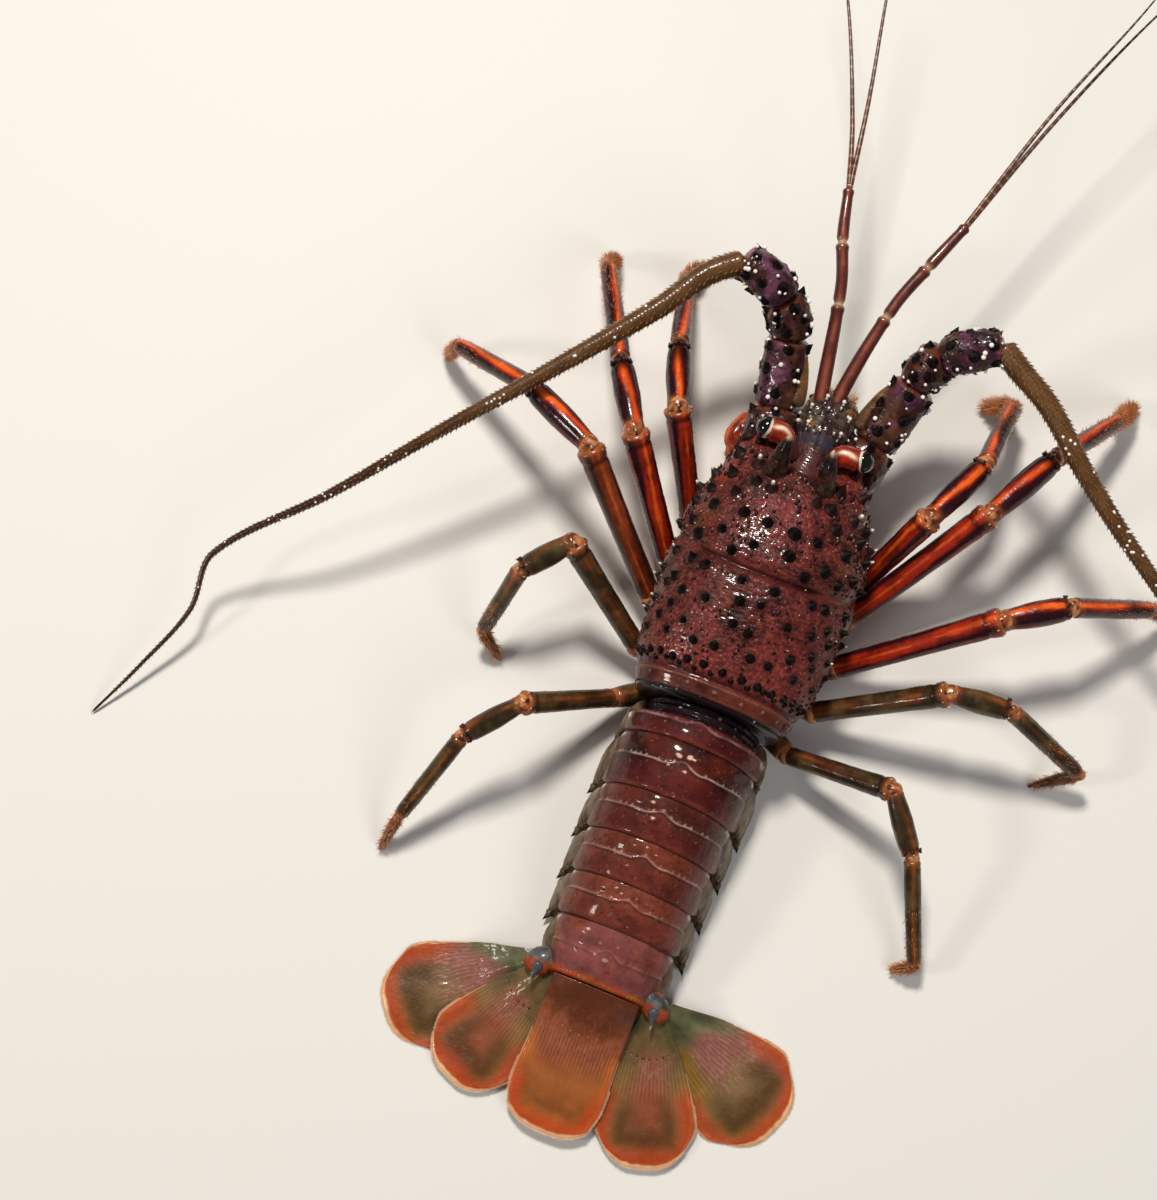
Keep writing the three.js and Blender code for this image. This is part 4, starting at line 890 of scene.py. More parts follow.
def swimmeret(piece, y, side):
    middle = float(midline(y))
    path = [[middle + side * 8, y, 8, 2.5, 1], [middle + side * 12, y - 6, 5, 4.6, 0.9],
            [middle + side * 15.5, y - 12, 2.8, 1.6, 0.5]]
    fine, run = curve(path, 0.5)
    ends = round_ends(run / run[-1], 1.2, run[-1], 2.5)
    grid, _, deg = rings(fine[:, :3], fine[:, 3] * ends + 0.02, fine[:, 4] * ends + 0.02, 28)
    share = (run / run[-1])[:, None] + 0 * deg[None]
    piece.tube(grid, mix(0xA0522A, 0xD89058, smooth(0.4, 1, share)))


# Tail fan

INNER = dict(root_half=4, waist=0.7, round=0.14, under=[[0, 10], [0.3, 5], [0.6, 2.6], [1, 2.4]],
             thick=[[0, 4], [0.3, 2], [1, 1]])
OUTER = dict(root_half=4.5, waist=0.7, round=0.14, under=[[0, 8], [0.3, 2.2], [0.6, 0], [1, 0]],
             thick=[[0, 5], [0.3, 2], [1, 1.1]])
BLADES = {
    "telson": dict(root=(-1.4, -147.9), heading=180, length=53.2, root_half=16.5, waist=0.96, half=17.6,
                   end=16, round=0.1, under=[[0, 9], [0.35, 6.2], [0.75, 4.6], [1, 4.4]],
                   thick=[[0, 13], [0.12, 9], [0.4, 3.6], [0.75, 1.7], [1, 1.1]], lead=0),
    "right_inner": dict(INNER, root=(20, -147.5), heading=162.5, length=54.5, half=18.3, end=15.5,
                        lead=-1),
    "left_inner": dict(INNER, root=(-20, -147), heading=-157.5, length=52.5, half=17.4, end=15, lead=1),
    "right_outer": dict(OUTER, root=(23.5, -146), heading=112.5, length=57, half=21, end=17, lead=-1),
    "left_outer": dict(OUTER, root=(-25, -146), heading=-129, length=58, half=19.8, end=16, lead=1),
}
FRINGE_ROOM = 1.2


def vane_half(spec, share):
    return along([[0, spec["root_half"]], [0.35, spec["waist"] * spec["half"]], [0.78, spec["half"]],
                  [1, spec["end"]]], share)


def blade_place(spec, share, across):
    """A place on the middle of a vane, with the ways along and across it."""
    h = math.radians(spec["heading"])
    forward = np.array([math.sin(h), math.cos(h), 0])
    side = np.array([forward[1], -forward[0], 0])
    corner = 1 - 0.05 * np.clip((share - 0.8) / 0.2, 0, 1) ** 2
    reach = (spec["length"] - FRINGE_ROOM) * share * (1 - spec["round"] * np.abs(across) ** 3 * share)
    root = np.array([*spec["root"], 0])
    width = vane_half(spec, share) * corner - 0.4 * smooth(0.2, 0.5, share)
    return root + forward * reach[..., None] + side * (across * width)[..., None], forward, side


def vane_tone(spec, place, share, across):
    """Soft zones of colour from the hard root to the bright margin, and the scaly part of the skin."""
    patch = clouds(place, 9, 13)
    ragged = share + 0.16 * (patch - 0.5)
    inward = (1 - np.abs(across)) * vane_half(spec, share)
    margin = np.minimum(inward * (1 + 5 * smooth(0.55, 0.3, share)), (1 - share) * spec["length"] * 0.95)
    margin = margin + 1.6 * (patch - 0.5)
    lead = across * spec["lead"]
    if spec["lead"] == 0:
        shade = coats(0x88482A,
            (0x5E2E18, smooth(0.35, 0.65, patch)),
            (0x56443E, 0.4 * blots(place, 7, 3, 0.45, 0.75) * smooth(0.36, 0.1, share)),
            (0x824020, smooth(0.24, 0.4, ragged)),
            (0x985422, smooth(0.42, 0.66, ragged)),
            (0x6E3E18, 0.6 * bump((ragged - 0.8) / 0.08)),
            (0xB05A14, 0.85 * smooth(5.5, 1.5, inward) * smooth(0.3, 0.5, share)),
            (0xAC4216, smooth(8, 2.5, margin) * smooth(0.6, 0.8, share)))
        scaly = smooth(0.1, 0.25, share) * smooth(0.6, 0.45, share) * 0.4
    elif abs(spec["heading"]) > 150:
        shade = mix(0x6C5634, 0x504A2A, smooth(0.35, 0.65, patch))
        middle = bump((lead - 0.08) / 0.5)
        shade = coats(shade,
            (0x824A36, smooth(0.16, 0.3, ragged) * middle),
            (0x886030, 0.9 * smooth(0.3, 0.5, ragged) * (1 - middle)),
            (0x863E22, 0.85 * smooth(0.4, 0.56, ragged) * middle),
            (0x52300C, 0.85 * bump((margin - 10) / 4.2) * smooth(0.45, 0.7, share)),
            (0xA03E16, smooth(8.5, 2.5, margin) * smooth(0.42, 0.62, share)))
        scaly = smooth(0.2, 0.3, share) * smooth(0.52, 0.42, share) * bump((lead - 0.1) / 0.45)
    else:
        shade = coats(0x5E5C3E,
            (0x48462E, smooth(0.35, 0.65, patch)),
            (0x767C5C, 0.5 * bump((lead - 0.45) / 0.2) * bump((share - 0.24) / 0.12)))
        lilac = smooth(-0.35, 0.05, lead + 0.35 * share + 0.2 * (patch - 0.5))
        shade = mix(shade, 0x845046, smooth(0.18, 0.34, ragged - 0.14 * smooth(0.4, 0.9, lead)) * lilac)
        gold = (1 - lilac) * smooth(0.16, 0.3, ragged)
        shade = coats(shade,
            (0x825A12, 0.9 * gold),
            (0x745E34, 0.8 * smooth(0.45, 0.62, ragged) * smooth(0.85, 0.3, lead)),
            (0x4C300C, 0.9 * bump((margin - 10.5) / 5) * smooth(0.5, 0.72, share)),
            (0xA04218, smooth(9, 2.5, margin) * smooth(0.42, 0.62, share)))
        scaly = smooth(0.22, 0.32, share) * smooth(0.72, 0.58, share) * lilac
    shade = mix(shade, 0xB24E22, 0.8 * smooth(2.6, 1.3, margin) * smooth(0.42, 0.62, share))
    return shade, scaly, margin


def tail_vane(name, node):
    spec = BLADES[name]
    piece = Piece()
    share = np.linspace(0, 1, 126)[:, None]
    across = np.linspace(-1, 1, 130)[None, :]
    s, a = share + 0 * across, across + 0 * share
    place, forward, _ = blade_place(spec, s, a)
    soft = smooth(0.26, 0.4, s)
    shade, scaly, margin = vane_tone(spec, place, s, a)
    count = 13 if name == "telson" else 11
    ribs = 0.5 + 0.5 * np.cos(2 * np.pi * a * count)
    finer = 0.5 + 0.5 * np.cos(4 * np.pi * a * count)
    rib = mix(ribs[..., None], finer[..., None], smooth(0.5, 0.62, s))[..., 0]
    combed = np.stack([a * spec["half"], s * spec["length"] * 0.3, 0 * s], -1)
    scale = smooth(0.52, 0.78, noise(combed, 0.42, 33)) * scaly
    rim = np.minimum(np.minimum(1 - np.abs(a), (1 - s)) * 24, 1)
    thick = along(spec["thick"], share) + 0 * a
    swell = 0.5 * np.cos(a * 4.5) * smooth(0.3, 0.7, s) * (spec["lead"] != 0)
    crown = (0.04 * rib + 0.7 * (clouds(place, 11, 21) - 0.5)) * soft + 0.1 * scale
    pimples = cone(cells(place, 1.8, 8)[0] / 0.6)
    hard = (1 - soft) * (0.5 * (clouds(place, 5, 4) - 0.5) + 0.08 * pimples)
    if name == "telson":
        arch = 1.2 * (1 - a ** 2) * (1 - s) - 0.9 * np.abs(a) ** 6 * (1 - s)
    else:
        arch = 0.9 * bump((a - 0.12 * spec["lead"]) / 0.2) * (1 - soft) * smooth(0.0, 0.1, s)
    frill = 0.3 * (noise(place, 3.0, 41) - 0.5) * smooth(3.0, 0.5, margin) * soft
    low = np.maximum(along(spec["under"], share), 0.1) + 0 * a
    rise = np.maximum(thick + arch + hard + crown + swell * 0.5 + frill, 0.5)
    lift = rise * (0.25 + 0.75 * np.sqrt(rim))
    top, under = place.copy(), place.copy()
    top[..., 2] = low + lift
    under[..., 2] = low + 0.12 * (1 - rim) * thick
    shade = coats(shade,
        (0x2A1A10, 0.13 * (1 - rib) * soft * smooth(1.0, 0.75, s)),
        (0xC8A890, 0.1 * rib * soft * smooth(0.9, 0.3, s)),
        # painted highlight: pale marks on the raised scales stand in for their glints
        (0xB88478, 0.24 * scale))
    edge = np.maximum(s, np.abs(a) * smooth(0.22, 0.4, s))
    shade = mix(shade, 0xDCB488, 0.95 * smooth(0.968, 0.985, edge + 0.012 * (noise(place, 2, 15) - 0.5)))
    piece.sheet(top, under, shade, mix(shade, 0xB87848, 0.45))
    if "outer" in name:
        tail_joint(piece, 1 if "right" in name else -1)
    else:
        # Small spines at the end of the hard root
        spots = np.linspace(-0.8, 0.8, 9)
        foot, _, _ = blade_place(spec, 0.27 + 0.03 * np.cos(spots * 3), spots)
        foot[:, 2] = along(spec["under"], 0.28) + along(spec["thick"], 0.28)
        piece.thorns(foot, forward + np.array([0, 0, 0.35]), 1.2, 0.4, 0x5A3420, 0xC8A080, 0.5,
                     sides=7, rings=6)
    piece.build("tail_%s_fine" % name, MAT["fan"], [node])


def tail_fringe():
    """A close fringe of short bristles round the soft margins."""
    piece = Piece()
    rng = np.random.default_rng(17)
    for k, spec in enumerate(BLADES.values()):
        a = np.concatenate([np.linspace(-1, 1, 210), np.full(60, -1.0), np.full(60, 1.0)])
        s = np.concatenate([np.full(210, 0.995), *[np.linspace(0.62, 0.99, 60)] * 2])
        foot, forward, side = blade_place(spec, s, a)
        foot[:, 2] = along(spec["under"], s) + 0.45 * along(spec["thick"], s)
        flare = forward[None] * np.where(s > 0.99, 1.0, 0.45)[:, None] + side[None] * (0.55 * a)[:, None]
        flare = flare + rng.normal(0, 0.09, flare.shape)
        uv = np.column_stack([(k + 0.1 + 0.8 * (a + 1) / 2) / 5, 0.1 + 0.8 * s])
        size = rng.uniform(0.8, 1.25, len(a)) * np.where(s > 0.99, 1.0, 0.75)
        piece.thorns(foot, flare, size, 0.13, 0xC88A58, 0xEAD8BC, 0.3, sides=4, rings=3,
                     bend=0.0, flare=0.1, uv=uv)
    piece.build("tail_fringe", MAT["setae"], with_uv=True)


def tail_joint(piece, side):
    """The knob that carries a pair of vanes."""
    middle = float(midline(-146))
    path = [[middle + side * 12, -140, 12, 3.5], [middle + side * 17, -143, 13, 5.4],
            [middle + side * 22.5, -146, 13, 5.6], [middle + side * 27, -148.5, 12, 3.6]]
    fine, run = curve(path, 0.35)
    ends = round_ends(run / run[-1], 1.0, run[-1], 3.5)
    girth = fine[:, 3] * 0.86 * ends + 0.03
    grid, out, _ = rings(fine[:, :3], girth, girth, 56)
    lumps = 1.1 * (clouds(grid, 4.5, 5) - 0.5) + 0.25 * cone(cells(grid, 1.8, 3)[0] / 0.7)
    grid = grid + out * (lumps * ends[:, None])[..., None]
    patch = clouds(grid, 4, 8)
    shade = mix(0x5C5E60, 0x36342F, smooth(0.35, 0.65, patch))
    rusty = smooth(-144.6, -147.2, grid[..., 1] + 2.4 * (clouds(grid, 3, 19) - 0.5))
    shade = mix(shade, 0x94401C, np.clip(rusty + 0.8 * blots(grid, 4, 9, 0.62, 0.74), 0, 1))
    inner = smooth(16.5, 14, np.abs(grid[..., 0] - middle))
    shade = mix(shade, 0xA8341A, inner)
    piece.tube(grid, shade)
    piece.thorns([middle + side * 22, -148, 16], [0.15 * side, -1, 0], 6, 1.7, 0x4A4A50,
                 0xC8A080, 0.7, sides=12, rings=9)


# Head


def antennular_plate():
    piece = Piece()
    path = [[0, 44, 38, 9, 11], [0.5, 56, 38, 8.6, 9], [0.8, 66, 37.5, 9.4, 7.5], [1, 74, 37, 10, 6.5],
            [1.2, 80, 36.5, 8.2, 5.2], [1.3, 83.8, 36.5, 4.6, 3.5]]
    fine, run = curve(path, 0.3)
    ends = round_ends(run / run[-1], 0.3, run[-1], 8)
    grid, out, _ = rings(fine[:, :3], fine[:, 3] * ends + 0.05, fine[:, 4] * ends + 0.05, 120)
    # Fine bowed lines behind, a smooth middle and a lumpy front
    behind = smooth(60, 56, grid[..., 1])
    lumpy = smooth(62, 67, grid[..., 1])
    d = np.hypot(grid[..., 0] - 0.6, 0.8 * (grid[..., 1] - 59))
    fold = np.sin(d * 5.2 + 7.0 * noise(grid, 3.4, 2)) * smooth(0.3, 0.6, noise(grid, 2.6, 52))
    wrinkle = 0.08 * fold * behind + 0.16 * (clouds(grid, 2.2, 14) - 0.5)
    knobs, who = cells(grid, 3.2, 7)
    lumps = lumpy * (0.9 * dome(knobs / 1.5) * (0.4 + 0.6 * who) + 0.6 * (clouds(grid, 3, 41) - 0.5))
    groove = -0.5 * bump((grid[..., 0] - 0.6) / 0.6) * (grid[..., 2] > 38) * smooth(54, 60, grid[..., 1])
    grid = grid + out * (wrinkle + groove + lumps)[..., None]
    patch = clouds(grid, 4, 6)
    shade = coats(0x43262A,
        (0x1E1118, smooth(0.35, 0.65, patch)),
        (0x60302A, 0.7 * behind * blots(grid, 5, 16, 0.3, 0.6)),
        (0x9A7468, 0.3 * behind * smooth(0.5, 1.0, fold)),
        (0x383440, 0.6 * (1 - behind) * (1 - lumpy)),
        (mix(0x4C4430, 0x40302A, patch > 0.5), 0.8 * lumpy * blots(grid, 3, 26, 0.35, 0.5)),
        (0x8A5A2C, 0.6 * lumpy * blots(grid, 4, 12, 0.6, 0.72)))
    piece.tube(grid, shade)
    for x, y, z in ((6, 64, 43), (7, 71, 41.5), (3, 76, 42.2)):
        for s in (-1, 1):
            piece.thorns([0.8 + s * x, y, z - 0.2], [0.1 * s, 0.8, 0.55], 3.4, 1.1, 0x2A1A18,
                         0xE8DCCC, 0.5, sides=10, rings=8)
            piece.beads([0.8 + s * x * 1.04, y + 2.5, z + 1.6], 0.8, 0xE6DCD6)
    rng = np.random.default_rng(3)
    x = rng.uniform(-7.6, 9, 46)
    y = rng.uniform(61, 81, 46)
    half = np.interp(y, [56, 66, 74, 80, 83.8], [8.6, 9.4, 10, 8.2, 4.6])
    top = np.interp(y, [56, 66, 74, 80, 83.8], [9, 7.5, 6.5, 5.2, 3.5])
    z = np.interp(y, [56, 66, 74, 80], [38, 37.5, 37, 36.5]) + top * np.sqrt(dome((x - 1) / half))
    inside = np.abs(x - 1) < half * 0.93
    foot = np.column_stack([x, y, z - 0.1])[inside]
    pale = rng.random(len(foot)) < 0.25
    piece.thorns(foot, [0, 0.7, 0.7], 1.5, 0.6, 0x2A1A18, either(pale, 0xE8DCCC, 0x3A2420), 0.35,
                 sides=7, rings=5)
    piece.beads((foot + [0, 0.85, 0.95])[pale], rng.uniform(0.35, 0.7, pale.sum()), 0xE6DCD6)
    hair = Piece()
    count = 240
    foot = np.column_stack([rng.uniform(a, b, count) for a, b in ((-6, 8), (77, 83), (37, 41))])
    aim = np.column_stack([rng.normal(0, 0.5, count), rng.uniform(0.4, 1.2, count),
                           rng.normal(0.25, 0.35, count)])
    hair.thorns(foot, aim, rng.uniform(2.5, 5.5, count), 0.13, 0xA8682A, 0xE0B860, 0.3, sides=3,
                rings=4, bend=0.3, flare=0.1, uv=rng.uniform(0.1, 0.9, (count, 2)))
    hair.build("antennule_root_setae", MAT["setae"], with_uv=True)
    piece.build("antennular_plate_fine", MAT["plate"], ["antennular_plate"])


EYES = {
    "left": dict(stalk=[[-5.6, 50, 44.5, 3], [-9, 55, 46, 3.6], [-12.3, 57.6, 47, 4.1],
                        [-17, 57.8, 47, 4.3]],
                 eye=(-18.2, 57.8, 47)),
    "right": dict(stalk=[[4, 50, 44.5, 3], [7.6, 55, 46, 3.6], [10.8, 57.9, 47, 4.1],
                         [16.7, 58.5, 47, 4.3]],
                  eye=(17.9, 58.6, 47)),
}


def eye(name):
    spec = EYES[name]
    s = -1 if name == "left" else 1
    piece = Piece()
    fine, run = curve(spec["stalk"], 0.2)
    share = run / run[-1]
    ends = round_ends(share, 0.25, run[-1], 3.6)
    waist = 1 - 0.1 * bump((share - 0.3) / 0.12)
    girth = fine[:, 3] * waist * ends + 0.03
    grid, out, deg = rings(fine[:, :3], girth, girth, 72)
    grid = grid + out * (0.2 * (clouds(grid, 2.5, 3) - 0.5))[..., None]
    length = share[:, None]
    shade = coats(0x2A0E0A,
        (0x98240A, smooth(0.42, 0.62, length + 0.2 * (clouds(grid, 3, 5) - 0.5))),
        (0x5A1408, 0.5 * blots(grid, 2, 15, 0.45, 0.6)))
    # Painted highlight: a cream streak across the red of the stalk
    painted_highlight = bump((length - 0.76) / 0.17) * bump((deg[None] - 84 + s * 60 * (length - 0.8)) / 11)
    shade = mix(shade, 0xF6D2B4, np.clip(1.3 * painted_highlight, 0, 0.95))
    piece.tube(grid, shade)
    piece.build("eyestalk_%s_fine" % name, MAT["eyestalk"], ["eyestalk_%s" % name])
    ball = Piece()
    phi = np.linspace(0.001, np.pi - 0.001, 60)[:, None]
    theta = np.linspace(0, 2 * np.pi, 96, endpoint=False)[None, :]
    axis = np.array([s * 0.93, 0.1, 0.25])
    axis /= np.linalg.norm(axis)
    one = unit(np.cross(axis, [0, 0, 1.0]))
    two = np.cross(axis, one)
    way = globe(phi, theta) @ np.array([one, two, axis])
    stretch = 1 + 0.05 * np.sin(theta) ** 2 * np.sin(phi)
    radius = 4.15 * stretch - 0.35 * smooth(0.18, -0.05, np.cos(phi) + 0 * theta)
    rim = np.cos(phi) + 0.06 * np.sin(theta + 0.6)
    shade = mix(0x050404, 0x1A0E0C, smooth(0.55, 0.9, noise(way * 3, 1.4, 3)) * 0.4)
    # The dark cornea ends in a pale, uneven ring beside the red stalk
    wide = 0.32 + 0.12 * np.sin(theta - 0.8) + 0.05 * np.sin(3 * theta)
    edge = 0.14 + 0.1 * np.sin(theta + 0.6) + 0.03 * np.sin(4 * theta)
    ring = smooth(edge, edge - 0.06, rim)
    shade = coats(shade,
        (0xEADCC4, ring),
        (0x96200A, smooth(edge - wide, edge - wide - 0.07, rim)))
    radius = radius + 0.12 * ring * smooth(edge - wide - 0.1, edge - wide, rim)
    ball.tube(np.array(spec["eye"]) + way * radius[..., None], shade)
    ball.build("eye_%s_fine" % name, MAT["cornea"], ["eye_%s" % name])


STALKS = {
    "left": {
        "base": [[-12.5, 43, 30, 8.5], [-15.5, 54, 31, 9.2], [-18, 65, 33, 9.6], [-19.3, 71, 34.5, 8.4]],
        "segment_1": [[-19, 69, 34, 7.4], [-19.8, 76, 36.5, 8.3], [-22, 87, 42, 8],
                      [-23.5, 94, 46.5, 7.4]],
        "segment_2": [[-23.2, 92.5, 46, 6.6], [-24.6, 96.8, 50, 7.8], [-27, 100.2, 54, 7.8],
                      [-30, 102, 57.5, 6.6]],
        "segment_3": [[-28.5, 101.5, 57, 6], [-34, 104.3, 60, 7.6], [-41, 106.8, 62.5, 7.2],
                      [-48.5, 107.8, 64.5, 5.6]],
        "flap": [[-12.5, 72, 38, 3.4], [-13.2, 79, 40, 3], [-15.5, 87, 43, 2.4], [-18.5, 94, 46.5, 1]],
        "whip": [[-47, 107.4, 64.3], [-58, 98, 63.8], [-69, 81, 62], [-95, 48, 58], [-123, 15, 52],
                 [-155.5, -22, 40], [-189.5, -55, 24], [-190.5, -76, 16], [-201, -101, 8],
                 [-212, -123, 0.9]],
        "seed": 31,
    },
    "right": {
        "base": [[12.5, 43, 30, 8.5], [15.5, 54, 31, 9.2], [18, 65, 33, 9.6], [19.5, 71, 34.5, 8.6]],
        "segment_1": [[19.2, 69, 34, 7.6], [20.5, 76, 36.5, 8.6], [24, 87, 42, 8.3], [26, 94, 46.5, 7.6]],
        "segment_2": [[25.6, 92.5, 46, 6.6], [27, 97, 50, 7.8], [29.5, 100.5, 54, 7.8],
                      [32, 103, 57.5, 6.6]],
        "segment_3": [[30.5, 102, 57, 6], [36, 105, 60, 7.6], [43, 108.5, 62.5, 7.2],
                      [50, 111.5, 64.5, 5.6]],
        "flap": [[12.8, 72, 38, 3.4], [13.8, 79, 40, 3], [16.8, 87, 43, 2.4], [20.5, 94, 46.5, 1]],
        "whip": [[48.6, 111, 64.3], [58, 105, 64], [71.6, 96.9, 63], [91.1, 79.9, 60], [107.2, 68, 56],
                 [131.4, 52.1, 50], [168, 29, 38], [199, 3, 26], [224, -26, 14], [241, -57, 5],
                 [249, -84, 0.9]],
        "seed": 47,
    },
}
STALK_SPIKES = [[0.3, [25, 100, 170]], [0.55, [60, 135, 200]], [0.85, [15, 85, 150, 220]]]


def stalk_spikes(stations, seed):
    """Places of the large spines on a stalk, the same as in the solids."""
    roll = seeded(seed)
    s = np.array(stations, float)
    found = []
    for share, turns in STALK_SPIKES:
        place = share * (len(s) - 1)
        i = min(int(place), len(s) - 2)
        centre = s[i, :3] + (s[i + 1, :3] - s[i, :3]) * (place - i)
        girth = s[i, 3] + (s[i + 1, 3] - s[i, 3]) * (place - i)
        for turn in turns:
            out, ahead = round_line(s[i, :3], s[i + 1, :3], turn + 14 * (roll() - 0.5))
            length = 3.4 * (0.8 + 0.4 * roll())
            found.append([*(centre + out * 0.93 * girth), *unit(out + ahead), length])
    return np.array(found)


def stalk_segment(side, part, seed):
    stations = STALKS[side][part]
    piece = Piece()
    rng = np.random.default_rng(seed)
    fine, run = curve(stations, 0.36)
    share = run / run[-1]
    ends = round_ends(share, 0.45, run[-1], fine[0, 3])
    girth = fine[:, 3] * ends + 0.05
    grid, out, deg = rings(fine[:, :3], girth, girth, 104)
    big, who = cells(grid, 4.0, seed)
    fine_lump, _ = cells(grid, 1.7, seed + 5)
    lumps = dome(big / (1.1 + 0.6 * who)) * 0.5 + dome(fine_lump / 0.6) * 0.16
    collar = (0.4 * bump((share - 0.93) / 0.035) + 0.3 * bump((share - 0.06) / 0.03))[:, None]
    rough = 0.7 * (clouds(grid, 4, seed + 3) - 0.5)
    grid = grid + out * ((lumps + rough + collar) * ends[:, None])[..., None]
    patch = clouds(grid, 5, seed + 7)
    outer = {"base": 0.1, "segment_1": 0.8, "segment_2": 0.45, "segment_3": 0.85}[part]
    shade = mix(0x6C3C58, 0x361826, smooth(0.36, 0.62, patch))
    brown = mix(0x52301E, 0x34180F, blots(grid, 5, seed + 29, 0.35, 0.6))
    shade = coats(shade,
        (brown, 1 - outer * blots(grid, 8, seed + 9, 0.62, 0.46)),
        (0x1E0E0C, 0.5 * blots(grid, 4, seed + 19, 0.5, 0.7)),
        (0x080304, 0.95 * (who > 0.7) * smooth(1.35, 0.95, big)))
    spikes = stalk_spikes(stations, seed)
    for spike in spikes:
        far = np.linalg.norm(grid - spike[:3], axis=-1)
        shade = mix(shade, 0x080304, 0.95 * smooth(2.7, 2.0, far))
    below = smooth(-20, -70, np.where(deg > 180, deg - 360, deg))
    shade = coats(shade,
        (0x7A3826, 0.5 * bump((share - 0.95) / 0.04)[:, None]),
        (0xB06A40, 0.55 * below))
    piece.tube(grid, shade)
    if part == "segment_1":
        # A soft flap along the inner side
        lobe, run = curve(STALKS[side]["flap"], 0.4)
        thin = lobe[:, 3] * round_ends(run / run[-1], 0.8, run[-1], 3)
        grid, out, deg = rings(lobe[:, :3], thin + 0.04, thin * 0.97 + 0.04, 48)
        grid = grid + out * (0.35 * (clouds(grid, 4, 3) - 0.5))[..., None]
        shade = mix(0x54341E, 0x74502C, blots(grid, 5, 8, 0.3, 0.7))
        piece.tube(grid, mix(shade, 0x3A2218, 0.7 * smooth(0.35, 0.0, run / run[-1])[:, None]))
    piece.build("antenna_%s_%s_fine" % (side, part), MAT["antenna"],
                ["antenna_%s_%s" % (side, part)])
    piece = Piece()
    white = rng.random(len(spikes)) < 0.45
    piece.thorns(spikes[:, :3], spikes[:, 3:6] * [0.8, 0.8, 1.2], spikes[:, 6] * 0.9, 1.75, 0x0A0404,
                 either(white, 0xF0E8E0, 0x1A0C0A), 0.6, sides=14, rings=10, bend=0.12, flare=0.2)
    count = 22
    pick = rng.integers(4, len(fine) - 4, count)
    way, ahead = round_path(fine, pick, rng.uniform(-30, 210, count))
    foot = fine[pick, :3] + way * (girth[pick] * 0.97)[:, None]
    size = rng.uniform(0.6, 1.0, count)
    pale = rng.random(count) < 0.6
    piece.thorns(foot, way + ahead, 1.9 * size, 0.62 * size, 0x1A0C10,
                 either(pale, 0xECE2D8, 0x3A2020), 0.4, sides=8, rings=6)
    piece.beads((foot + unit(way + ahead) * (1.5 * size)[:, None])[pale],
                rng.uniform(0.35, 0.95, pale.sum()), 0xF0E6E0)
    piece.build("antenna_%s_%s_spines" % (side, part), MAT["spine"])


def whip(side):
    """The long whip: fine rings, rows of small spinules and scattered white dots, partly painted
    highlights.
    """
    piece = Piece()
    fine, run = curve(STALKS[side]["whip"], 0.45)
    girth = along([[0, 4.5], [30, 3.8], [120, 2.3], [220, 1.1], [292, 0.5]], run)
    girth = girth * np.clip((run[-1] - run) / 2, 0.2, 1) * np.clip(0.5 + run / 3, 0.5, 1)
    grid, out, _ = rings(fine, girth, girth, 20)
    ring_step = 1.1 + 0.5 * np.clip(1 - run / 180, 0, 1)
    phase = np.cumsum(0.45 / ring_step)
    annuli = 0.009 * girth * (np.cos(2 * np.pi * phase) - 0.3)
    grid = grid + out * annuli[:, None, None]
    grid[..., 2] = np.maximum(grid[..., 2], 0.05)
    patch = clouds(grid, 9, 3)
    shade = coats(0x5C3C1C,
        (0x351C10, smooth(20, 210, run)[:, None]),
        (0x6E4E2C, 0.4 * smooth(0.45, 0.7, patch) * smooth(0, 60, 150 - run)[:, None]),
        (0x1E120E, 0.14 * (0.5 - 0.5 * np.cos(2 * np.pi * phase))[:, None]))
    piece.tube(grid, shade)
    rng = np.random.default_rng(9)
    rows = []
    place = 2.0
    while place < run[-1] - 12:
        i = int(place / run[-1] * (len(run) - 1))
        for turn in np.arange(0, 360, 45) + rng.uniform(-12, 12):
            rows.append((i, turn + rng.uniform(-8, 8)))
        place += 1.9
    index, turn = (np.array(column) for column in zip(*rows))
    way, ahead = round_path(fine, index, turn)
    foot = fine[index] + way * (girth[index] * 0.92)[:, None]
    keep = foot[:, 2] > 1.2
    size = (0.35 + 0.16 * girth[index])[keep]
    piece.thorns(foot[keep], (way * 0.8 + ahead)[keep], 2.0 * size, 0.36 * size, 0x2C1A12,
                 0xA88058, 0.45, sides=4, rings=3, bend=0.05, flare=0.2)
    # White dots, single and in clusters, on the upper side: partly pale spots, partly painted highlights
    # of the wet whip
    centres = np.concatenate([rng.uniform(4, 250, 16), np.repeat(rng.uniform(10, 220, 4), 4)])
    centres = centres + np.concatenate([np.zeros(16), rng.normal(0, 2.6, 16)])
    index = np.clip((centres / run[-1] * (len(run) - 1)).astype(int), 2, len(run) - 3)
    way, _ = round_path(fine, index, 90 + rng.normal(0, 42, len(index)))
    foot = fine[index] + way * (girth[index] * 0.95)[:, None]
    keep = foot[:, 2] > 2
    piece.beads(foot[keep], (0.3 + 0.09 * girth[index])[keep], 0xEAE6E2)
    names = ["antenna_%s_flagellum_%s" % (side, part) for part in ("base", "middle", "tip")]
    piece.build("antenna_%s_whip_fine" % side, MAT["whip"], names)


